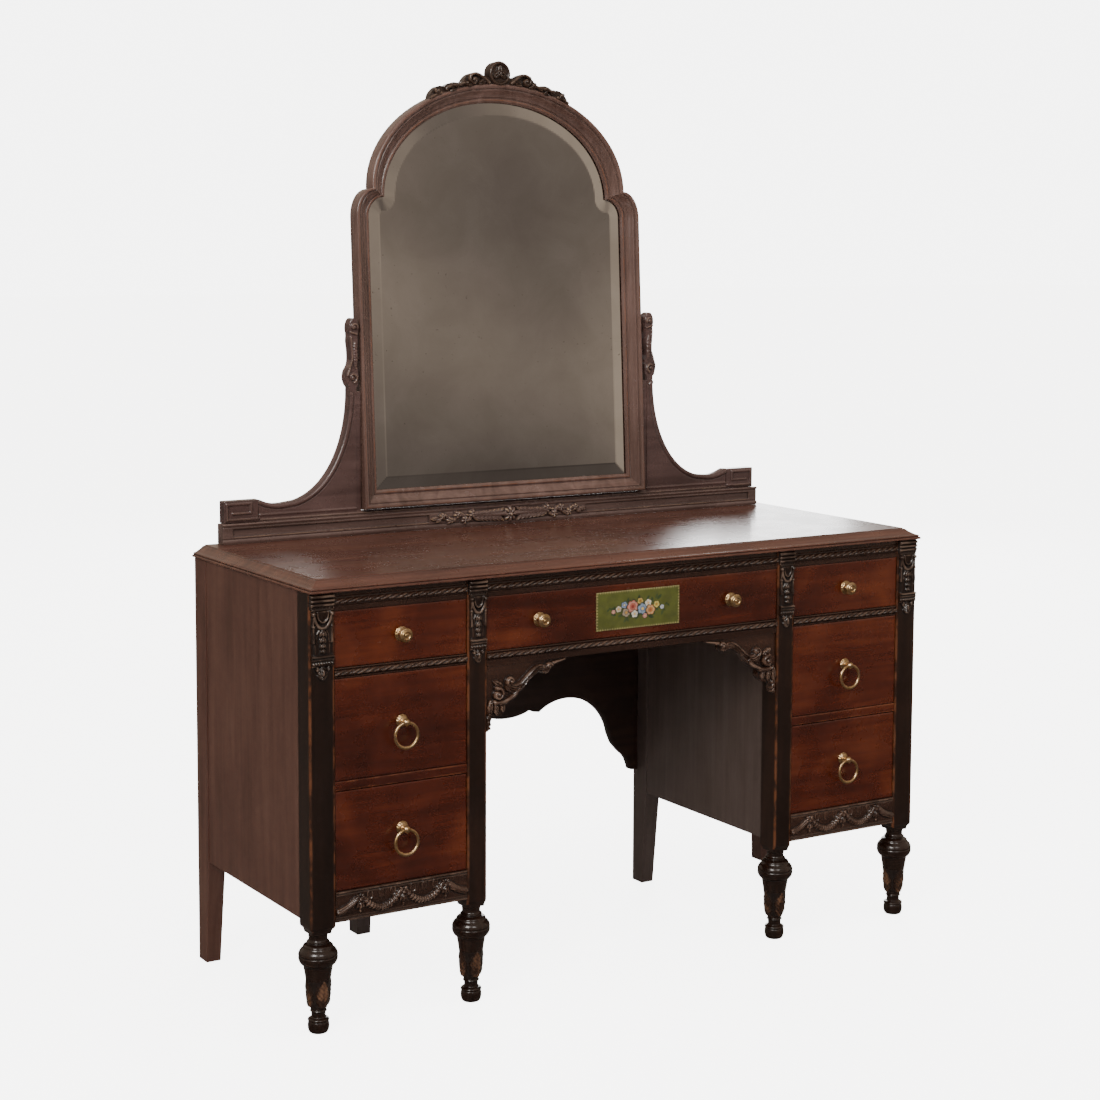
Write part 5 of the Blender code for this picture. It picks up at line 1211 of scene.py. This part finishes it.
def make_base_rail():
    half = rail_high.x
    foot = TOP_Z + SKIN
    f = Field((-half, half, foot, RAIL_TOP), 0.00105)
    f.H -= 0.0016 * np.clip(1 - np.minimum(half - np.abs(f.X), 1) / 0.0020, 0, 1) ** 2
    z = f.Z - foot
    panel = np.minimum.reduce([half - 0.020 - np.abs(f.X), z - 0.0125, 0.0270 - z])
    centre = np.abs(f.X) < 0.176
    sunk = np.where(centre, 0, np.clip(panel / 0.0010, 0, 1))
    f.H -= 0.0034 * sunk
    f.stroke([(-half, foot + 0.0350), (half, foot + 0.0350)], 0.0017, 0.0016)
    f.stroke([(-half, foot + 0.0312), (half, foot + 0.0312)], 0.0006, -0.0010)
    f.stroke([(-half, foot + 0.0045), (half, foot + 0.0045)], 0.0030, 0.0012)
    f.stroke([(-half, foot + 0.0092), (half, foot + 0.0092)], 0.0007, -0.0012)
    middle = foot + 0.0190
    f.flower(0, middle, 0.0165, 8, 0.0085, base=0.0010)
    f.bump(0, middle, 0.0050, 0.0050, 0.0120)
    for side in (-1, 1):
        f.stroke([(side * 0.0120, middle + 0.001), (side * 0.0760, middle + 0.001)], 0.0058,
                 0.0072, 0.0026)
        for i in range(7):
            x = side * (0.0200 + 0.0088 * i)
            for up in (1, -1):
                f.leaf((x + side * 0.010, middle + up * 0.0010),
                       (x - side * 0.0060, middle + up * (0.0128 - 0.0007 * i)), 0.0042, 0.0072,
                       1, base=RELIEF, veins=0.15)
        f.stroke(smooth_line([(side * 0.074, middle), (side * 0.100, middle + 0.0040),
                              (side * 0.130, middle - 0.0030), (side * 0.166, middle + 0.0020)],
                             6), 0.0022, 0.0048, 0.0012, base=0.0004)
        for x, up, size in ((0.0840, 0.0058, 0.0096), (0.1010, -0.0056, 0.0090),
                            (0.1170, 0.0056, 0.0088), (0.1340, -0.0044, 0.0082),
                            (0.1500, 0.0044, 0.0074)):
            f.flower(side * x, middle + up, size, 5, 0.0078, base=RELIEF, phase=x * 90)
        for x, up in ((0.0860, -0.0088), (0.1010, 0.0092), (0.1190, -0.0078), (0.1360, 0.0078),
                      (0.1520, -0.0060)):
            f.leaf((side * x, middle), (side * (x + 0.012), middle + up * 1.1), 0.0042, 0.0058, 2,
                   base=RELIEF, veins=0.2)
        f.leaf((side * 0.1580, middle), (side * 0.1750, middle + 0.0005), 0.0052, 0.0056, 2,
               base=RELIEF)
    shape = Shape()
    f.solid(shape, RAIL_FRONT, RAIL_FRONT + 0.004, contrast=0.0034)
    shape.board((-half + 0.0004, RAIL_FRONT + 0.0038, foot + 0.0001),
                (half - 0.0004, rail_high.y, RAIL_TOP - 0.0001), 0.001)
    rise = STRIP_RISE
    profile = smooth_line([(0.0, 0.0), (0.0, 0.0016), (-0.0014, 0.0026), (-0.0016, 0.0046),
                           (-0.0002, 0.0056), (0.0012, 0.0062), (0.0022, 0.0066 + rise)], 4)
    strip = KEY_INNER - SKIN
    loop = [(RAIL_FRONT + 0.0058 + a, RAIL_TOP - 0.0002 + b) for a, b in profile]
    loop += [(rail_high.y - 0.001, STRIP_TOP + rise), (rail_high.y - 0.001, RAIL_TOP - 0.0002)]
    # The strip's bead gets a high rub level: rubbed finish and painted highlight.
    rub_and_light_level = [0.5 + 0.4 * max(0.0, 1 - abs(b - RAIL_TOP - 0.0036) / 0.0016) for _, b in loop]
    shape.loft([[(x, a, b) for a, b in loop] for x in (-strip, -strip / 2, 0, strip / 2, strip)],
               [rub_and_light_level] * 5)
    shape.make("carved_base_rail", "frame_flat", "case", "frame_walnut",
               ["mirror_base_rail"], 55)


def power_arc(middle, across, rise, start, end, steps, power):
    line = []
    for angle in np.radians(np.linspace(start, end, steps + 1)):
        x = copysign(abs(cos(angle)) ** (2 / power), cos(angle))
        z = copysign(abs(sin(angle)) ** (2 / power), sin(angle))
        line.append((middle[0] + across * x, middle[1] + rise * z))
    return line


def sweep(inwards, steps=44):
    """The concave edge of the right standard, or a line parallel to it inside the wood."""
    head_x, head_z = STANDARD_INNER + 0.013, PIVOT.z - 0.052
    return power_arc((SWEEP_FOOT, head_z), SWEEP_FOOT - head_x + inwards,
                     head_z - (KEY_TOP - 0.010) + inwards, 262, 184, steps, 2.12)


def make_standards():
    """Key block, dip, long sweep with a bead and grooves, and the scrolled head."""
    scroll = [(0.0130, -0.0520), (0.0175, -0.0460), (0.0205, -0.0340), (0.0185, -0.0220),
              (0.0128, -0.0120), (0.0105, 0.0000), (0.0112, 0.0180), (0.0130, 0.0330),
              (0.0124, 0.0460), (0.0142, 0.0560), (0.0128, 0.0670), (0.0085, 0.0745),
              (0.0030, 0.0760), (-0.0030, 0.0720), (-0.0062, 0.0640), (-0.0060, 0.0540),
              (-0.0042, 0.0350), (-0.0038, 0.0000), (-0.0045, -0.0200), (-0.0062, -0.0340),
              (-0.0042, -0.0460), (0.0000, -0.0530)]
    head = [(STANDARD_INNER + a, PIVOT.z + b) for a, b in smooth_line(scroll, 4)]
    foot, block = STRIP_TOP + SKIN, RAIL_TOP + SKIN
    dip = smooth_line([(KEY_INNER, KEY_TOP), (SWEEP_FOOT + 0.0312, KEY_TOP - 0.0065),
                       (SWEEP_FOOT + 0.0158, KEY_TOP - 0.0098),
                       (SWEEP_FOOT, KEY_TOP - 0.010)], 4).tolist()
    outline = [(STANDARD_INNER, foot), (KEY_INNER, foot), (KEY_INNER, block),
               (STANDARD_HALF, block), (STANDARD_HALF, KEY_TOP)] + dip + sweep(0.0)[1:] + head
    mask = polygon_distance(outline)
    f = Field((STANDARD_INNER - 0.0066, STANDARD_HALF, block, PIVOT.z + 0.0766), 0.0011, mask)
    inside = mask(f.X, f.Z)
    f.H -= 0.0012 * np.clip(1 - inside / 0.0016, 0, 1) ** 2
    near = line_distance(dip + sweep(0.0)[1:])(f.X, f.Z)
    wing = (f.Z < PIVOT.z - 0.046) & (f.X < KEY_INNER + 0.001)
    ridge = np.clip(1 - ((near - 0.0046) / 0.0036) ** 2, 0, 1) ** 0.5
    f.H = np.maximum(f.H, np.where(wing, 0.0022 * ridge, -1))
    groove = np.clip(1 - ((near - 0.0094) / 0.0010) ** 2, 0, 1)
    f.H -= np.where(wing & (f.Z > foot + 0.012), 0.0008 * groove, 0)
    f.stroke([(STANDARD_INNER + 0.002, foot + 0.0052), (KEY_INNER - 0.002, foot + 0.0052)],
             0.0022, 0.0016)
    left, right = KEY_INNER + 0.0060, STANDARD_HALF - 0.0060
    low, top = block + 0.0060, KEY_TOP - 0.0060
    key = [(left, low), (right, low), (right, top), (left + 0.010, top),
           (left + 0.010, low + 0.011), (right - 0.012, low + 0.011)]
    f.stroke(key, 0.0027, 0.0024, soft=0.28)
    f.stroke([(KEY_INNER + 0.0008, block), (KEY_INNER + 0.0008, KEY_TOP)], 0.0009, -0.0016)
    x0, z0 = STANDARD_INNER, PIVOT.z
    f.curl(x0 + 0.0070, z0 - 0.0340, 0.0122, 250, -1.3, 0.0028, 0.0042)
    f.stroke(smooth_line([(x0 + 0.0170, z0 - 0.0300), (x0 + 0.0120, z0 - 0.0130),
                          (x0 + 0.0080, z0 + 0.0010), (x0 + 0.0085, z0 + 0.0200),
                          (x0 + 0.0100, z0 + 0.0400)], 5), 0.0024, 0.0030, 0.0018)
    f.leaf((x0 + 0.0010, z0 - 0.0180), (x0 + 0.0030, z0 + 0.0320), 0.0052, 0.0038, 4)
    f.curl(x0 + 0.0040, z0 + 0.0600, 0.0096, 200, -1.2, 0.0025, 0.0042)
    f.stroke([(x0 - 0.002, z0 + 0.0460), (x0 + 0.0110, z0 + 0.0500)], 0.0020, 0.0034)
    front = top_low.y + 0.4675
    back = front + STANDARD_THICK
    for name, side in SIDES:
        shape = Shape()
        f.solid(shape, front, back, mirror=side < 0, contrast=0.0030)
        inner_end, outer_end = MIRROR_WIDTH / 2 - 0.009, STANDARD_INNER + 0.006
        length = outer_end - inner_end
        place = Matrix.Translation((side * (inner_end + outer_end) / 2, PIVOT.y, PIVOT.z)) \
            @ Matrix.Rotation(pi / 2, 4, "Y")
        pin = [(0, length / 2), (0.0033, length / 2), (0.0035, length / 2 - 0.0004),
               (0.0035, 0.0), (0.0035, 0.0004 - length / 2), (0.0033, -length / 2),
               (0, -length / 2)]
        shape.turned(pin, 28, place)
        shape.board((side * (MIRROR_WIDTH / 2 + 0.0015), front + 0.0012, foot + 0.0002),
                    (side * (STANDARD_INNER + 0.0006), back - 0.0004, PIVOT.z - 0.060), 0.0006)
        shape.make(f"swept_standard_{name}", "wing", "case", "frame_walnut",
                   [f"standard_{name}"], 55)


# ---------------------------------------------------------------- mirror
def arc(middle, across, rise, start, end, steps):
    return [(middle[0] + across * cos(a), middle[1] + rise * sin(a))
            for a in np.radians(np.linspace(start, end, steps + 1))]


def arched_outline(half, foot, shoulder, cusp, cusp_z, top):
    """A closed outline of the mirror: straight sides, round shoulders and a low arch."""
    right = [(0.0, foot), (half / 2, foot), (half, foot), (half, 0.20), (half, 0.40),
             (half, shoulder)]
    right += arc((cusp, shoulder), half - cusp, cusp_z - shoulder, 0, 90, 16)[1:]
    right += arc((0.0, cusp_z), cusp, top - cusp_z, 0, 90, 60)[1:]
    return right + [(-x, z) for x, z in reversed(right[1:-1])]


def make_mirror():
    """The moulded frame and the bevelled glass in it, leaned back by the tilt at rest."""
    half = MIRROR_WIDTH / 2
    outer = arched_outline(half, 0.0, SHOULDER_FOOT, NOTCH_HALF, NOTCH_HEIGHT, ARCH_TOP)
    inner = arched_outline(half - FRAME_FACE, FRAME_FACE, SHOULDER_FOOT + 0.003,
                           NOTCH_HALF - FRAME_FACE + 0.0005, NOTCH_HEIGHT - 0.015,
                           ARCH_TOP - FRAME_FACE)
    front = smooth_line([(0.000, 0.0036), (0.020, 0.0014), (0.070, 0.0002), (0.130, 0.0000),
                         (0.200, 0.0008), (0.245, 0.0024), (0.265, 0.0044), (0.300, 0.0046),
                         (0.340, 0.0042), (0.400, 0.0062), (0.480, 0.0096), (0.570, 0.0124),
                         (0.650, 0.0140), (0.700, 0.0150), (0.725, 0.0168), (0.760, 0.0172),
                         (0.800, 0.0160), (0.860, 0.0156), (0.920, 0.0166), (0.960, 0.0180),
                         (1.000, 0.0196)], 3)
    seat, lip = 1.0 - 0.007 / FRAME_FACE, 0.0211
    profile = [(0.0, FRAME_DEPTH, 0.5), (0.0, 0.0160, 0.62)]
    for share, depth in front:
        # Proud rounds get the worn colour, rubbed finish and painted highlight; the grooves get
        # grime and painted shade.
        proud = peaks(share, (0.12, 0.10, 0.34), (0.86, 0.07, 0.45))
        groove = peaks(share, (0.285, 0.035, 0.42), (0.745, 0.03, 0.40))
        profile.append((share, depth, 0.5 + proud - groove))
    profile += [(1.0, lip, 0.4), (seat, lip, 0.4), (seat, FRAME_DEPTH, 0.5)]
    sections, rub_and_light_values = [], []
    for a, b in zip(outer, inner):
        sections.append([on_mirror(a[0] + (b[0] - a[0]) * s, depth, a[1] + (b[1] - a[1]) * s)
                         for s, depth, _ in profile])
        rub_and_light_values.append([rub_and_light_level for _, _, rub_and_light_level in profile])
    Shape().loft(sections, rub_and_light_values, ring=True).make("moulded_mirror_frame", "frame", "mirror",
                                                "frame_walnut", ["mirror_frame"], 32)

    share = 1.0 - GLASS_LAP / FRAME_FACE
    pane = [(a[0] + (b[0] - a[0]) * share, a[1] + (b[1] - a[1]) * share)
            for a, b in zip(outer, inner)]
    mask = polygon_distance(pane)
    half = max(x for x, _ in pane)
    f = Field((-half, half, min(z for _, z in pane), max(z for _, z in pane)), 0.0030, mask)
    seen = mask(f.X, f.Z) - GLASS_LAP
    f.H -= BEVEL_DEPTH * np.clip(1 - np.clip(seen, 0, 1) / BEVEL_WIDTH, 0, 1)
    shape = Shape()
    f.solid(shape, 0.0216, 0.0253, place=on_mirror)
    shape.make("bevelled_glass", "glass", "mirror", "mirror_glass", ["mirror_glass"], 0.5)



def arch_height(x):
    return NOTCH_HEIGHT + (ARCH_TOP - NOTCH_HEIGHT) * np.sqrt(
        np.clip(1 - (x / NOTCH_HALF) ** 2, 0, 1))


def make_crest():
    """A medallion between scrolled lobes that follow the frame's arch."""
    half = smooth_line([(0.1540, 0.0006), (0.1515, 0.0080), (0.1440, 0.0140), (0.1370, 0.0158),
                        (0.1300, 0.0148), (0.1245, 0.0120), (0.1190, 0.0118), (0.1120, 0.0130),
                        (0.1040, 0.0136), (0.0960, 0.0116), (0.0880, 0.0092), (0.0810, 0.0106),
                        (0.0750, 0.0170), (0.0680, 0.0214), (0.0590, 0.0236), (0.0480, 0.0226),
                        (0.0380, 0.0180), (0.0280, 0.0130)], 4)
    right = [(x, float(arch_height(x)) + above) for x, above in half]
    cx, cz, radius = 0.0, ARCH_TOP + 0.0195, 0.0238
    lobes = right + [(-x, z) for x, z in reversed(right)]
    seat = [(x, float(arch_height(x)) - CREST_LAP) for x in np.linspace(-0.1540, 0.1540, 61)]
    body = polygon_distance(lobes + seat)

    def mask(x, z):
        disc = np.minimum(radius - np.hypot(x - cx, z - cz), z - arch_height(x) + CREST_LAP)
        return np.maximum(body(x, z), disc)

    f = Field((-0.1545, 0.1545, float(arch_height(0.1540)) - 0.006, cz + radius), 0.0009, mask)
    f.H += 0.0004
    rim = np.hypot(f.X - cx, f.Z - cz)
    f.H = np.maximum(f.H, np.where(rim < radius, 0.0022, -1))
    ring = np.clip(1 - ((rim - 0.0200) / 0.0034) ** 2, 0, 1) ** 0.5
    f.H = np.maximum(f.H, np.where(rim < radius, 0.0022 + 0.0036 * ring, -1))
    for turn in (90, 210, 330):
        tip = (cx + 0.0165 * cos(radians(turn)), cz + 0.0165 * sin(radians(turn)))
        f.leaf((cx, cz), tip, 0.0072, 0.0066, 3, base=0.0022)
    f.flower(cx, cz, 0.0088, 5, 0.0092, base=0.0022)
    for side in (-1, 1):
        def at(x, above):
            return (side * x, float(arch_height(x)) + above)
        x, z = at(0.0590, 0.0100)
        f.curl(x, z, 0.0136, 90 - side * 40, -side * 1.15, 0.0040, 0.0088, base=RELIEF)
        f.stroke(smooth_line([at(0.0250, 0.0020), at(0.0350, 0.0090), at(0.0440, 0.0170),
                              at(0.0560, 0.0212), at(0.0670, 0.0186)], 5), 0.0036, 0.0078,
                 base=RELIEF)
        f.leaf(at(0.0480, 0.0010), at(0.0270, 0.0080), 0.0062, 0.0070, 3, base=RELIEF)
        f.stroke(smooth_line([at(0.0660, 0.0000), at(0.0780, 0.0056), at(0.0900, 0.0046),
                              at(0.1040, 0.0070), at(0.1180, 0.0060)], 5), 0.0036, 0.0070,
                 base=RELIEF)
        for x0, a0, x1, a1, wide in ((0.0760, 0.0010, 0.0800, 0.0130, 0.0042),
                                     (0.0900, 0.0000, 0.0980, 0.0112, 0.0050),
                                     (0.1030, 0.0010, 0.1090, 0.0130, 0.0052),
                                     (0.1140, 0.0010, 0.1240, 0.0120, 0.0050),
                                     (0.0960, -0.0030, 0.1120, -0.0010, 0.0040)):
            f.leaf(at(x0, a0), at(x1, a1), wide, 0.0072, 3, base=RELIEF)
        x, z = at(0.1380, 0.0076)
        f.curl(x, z, 0.0078, 90 - side * 60, -side * 1.1, 0.0026, 0.0074, base=RELIEF)
        f.stroke(smooth_line([at(0.1300, 0.0010), at(0.1420, 0.0020), at(0.1530, 0.0006)], 4),
                 0.0030, 0.0060, base=RELIEF)
        x, z = at(0.0730, 0.0060)
        f.bump(x, z, 0.0038, 0.0038, 0.0082, base=RELIEF)
    shape = Shape()
    f.solid(shape, 0.0030, 0.0198, place=on_mirror, contrast=0.0034)
    shape.make("scrolled_crest", "carved", "mirror", "carved_walnut", ["mirror_crest"], 60)


# ---------------------------------------------------------------- carried-over boards
def dress_nodes():
    """The flat CAD boards that stay as they are, with their wood."""
    dressed = {"side_panel_left_inner": "inner_side", "side_panel_right_inner": "inner_side",
               "side_panel": "side", "rear_leg_left_inner": "inner_side",
               "rear_leg_right_inner": "inner_side", "rear_leg": "side", "back_panel": "back",
               "mirror_backing": "back", "drawer": "oak"}
    for name, thing in NODES.items():
        if thing.hide_render:
            continue
        for start, look in dressed.items():
            if name.startswith(start):
                for slot in thing.material_slots:
                    slot.material = LOOKS[look]
                break
        else:
            raise RuntimeError(f"{name} keeps its plain material")


# ---------------------------------------------------------------- studio
AMBIENT = 0.50                  # of the room's light on matt surfaces
BACKDROP = 6.0
FLOOR_GLOW = 5.5
ROOM = ((0.36, (0.050, 0.040, 0.034)), (0.46, (0.105, 0.085, 0.074)),
        (0.56, (0.210, 0.170, 0.140)), (0.72, (0.440, 0.360, 0.285)))
ROOM_LEAN = 0.8                 # how much lighter the reflected room grows with height
ROOM_FOOT = -0.06               # below this height its tone stays as it is
LAMPS = (                       # name, place, aim, size, watts, colour, seen in gloss
    ("key", (-3.6, -2.6, 3.4), (0, 0, 0.7), (1.6, 2.0), 150, (1.0, 0.97, 0.93), True),
    ("fill", (3.4, -4.0, 2.4), (0, 0, 0.6), (2.4, 2.4), 58, (0.97, 0.98, 1.0), False),
    ("overhead", (0.0, -0.6, 4.2), (0, 0, 0.7), (3.0, 2.0), 90, (1.0, 0.99, 0.97), False),
    ("glint", (-1.0, -5.4, 4.2), (0, 0, 0.6), (1.8, 1.4), 60, (1.0, 0.98, 0.95), True),
    ("window", (3.1, 4.6, 2.3), (0.1, 0, 0.8), (2.2, 2.6), 120, (0.98, 0.99, 1.0), True))


def make_studio():
    """A pale floor, soft lamps, and a world that reflects as a dim, warm room."""
    t = Tree(bpy.data.materials.new("studio_floor"))
    speck = t.noise(6.0, None, 4.0, 0.6)
    colour = t.ramp(speck, [(0.3, (0.84, 0.835, 0.825)), (0.7, (0.87, 0.865, 0.86))])
    floor_look = t.finish(colour, 0.62)
    t.shader.inputs["Emission Color"].default_value = (1.0, 0.995, 0.985, 1.0)
    seen = t.node("ShaderNodeLightPath").outputs["Is Camera Ray"]
    t.put(t.shader.inputs["Emission Strength"], t.math("MULTIPLY", seen, FLOOR_GLOW))
    bm = bmesh.new()
    bmesh.ops.create_grid(bm, x_segments=2, y_segments=2, size=40.0)
    mesh = bpy.data.meshes.new("studio_floor")
    bm.to_mesh(mesh)
    bm.free()
    floor = bpy.data.objects.new("studio_floor", mesh)
    bpy.context.scene.collection.objects.link(floor)
    mesh.materials.append(floor_look)
    floor.visible_glossy = False

    for name, place, aim, size, power, tint, glossy in LAMPS:
        light = bpy.data.lights.new(name, "AREA")
        light.shape = "RECTANGLE"
        light.size, light.size_y = size
        light.energy = power
        light.color = tint
        lamp = bpy.data.objects.new(name, light)
        bpy.context.scene.collection.objects.link(lamp)
        lamp.location = place
        lamp.rotation_euler = (Vector(aim) - Vector(place)).to_track_quat("-Z", "Y").to_euler()
        lamp.visible_glossy = glossy
        lamp.visible_camera = False

    world = bpy.data.worlds.new("studio")
    bpy.context.scene.world = world
    t = Tree(world)
    way = t.places["Generated"]
    height = t.node("ShaderNodeSeparateXYZ", {"Vector": way}).outputs["Z"]
    room = t.noise(3.4, way, 2.5, 0.5)
    tone = t.math("MULTIPLY_ADD", t.math("MAXIMUM", height, ROOM_FOOT), ROOM_LEAN, room)

    def backdrop(colour, strength):
        return t.node("ShaderNodeBackground", {"Color": colour, "Strength": strength}).outputs[0]

    rays = t.node("ShaderNodeLightPath").outputs
    seen = backdrop((0.93, 0.95, 1.0, 1.0), AMBIENT)
    for kind, other in (("Is Glossy Ray", backdrop(t.ramp(tone, ROOM), 1.0)),
                        ("Is Camera Ray", backdrop((1.0, 0.998, 0.995, 1.0), BACKDROP))):
        seen = t.node("ShaderNodeMixShader", {0: rays[kind], 1: seen, 2: other}).outputs[0]
    output = next(node for node in t.tree.nodes if node.type == "OUTPUT_WORLD")
    t.put(output.inputs["Surface"], seen)


def make_camera():
    """A three-quarter view from the left, a little above the table top."""
    data = bpy.data.cameras.new("camera")
    data.sensor_width = 36.0
    data.lens = 71.88
    data.shift_y = -0.0909
    camera = bpy.data.objects.new("camera", data)
    bpy.context.scene.collection.objects.link(camera)
    yaw, pitch, roll = 0.5555, 0.0986, 0.0038
    ahead = Vector((sin(yaw) * cos(pitch), cos(yaw) * cos(pitch), -sin(pitch)))
    across = Vector((cos(yaw), -sin(yaw), 0.0))
    up = across.cross(ahead)
    right = cos(roll) * across + sin(roll) * up
    above = -sin(roll) * across + cos(roll) * up
    turn = Matrix((right, above, -ahead)).transposed().to_4x4()
    camera.matrix_world = Matrix.Translation((-2.1664, -3.4378, 1.3247)) @ turn
    bpy.context.scene.camera = camera


# ---------------------------------------------------------------- build
make_top()
make_posts()
make_rails()
make_brackets()
make_knee_board()
make_fronts()
make_picture()
make_hardware()
make_base_rail()
make_standards()
make_mirror()
make_crest()
dress_nodes()
make_studio()
make_camera()
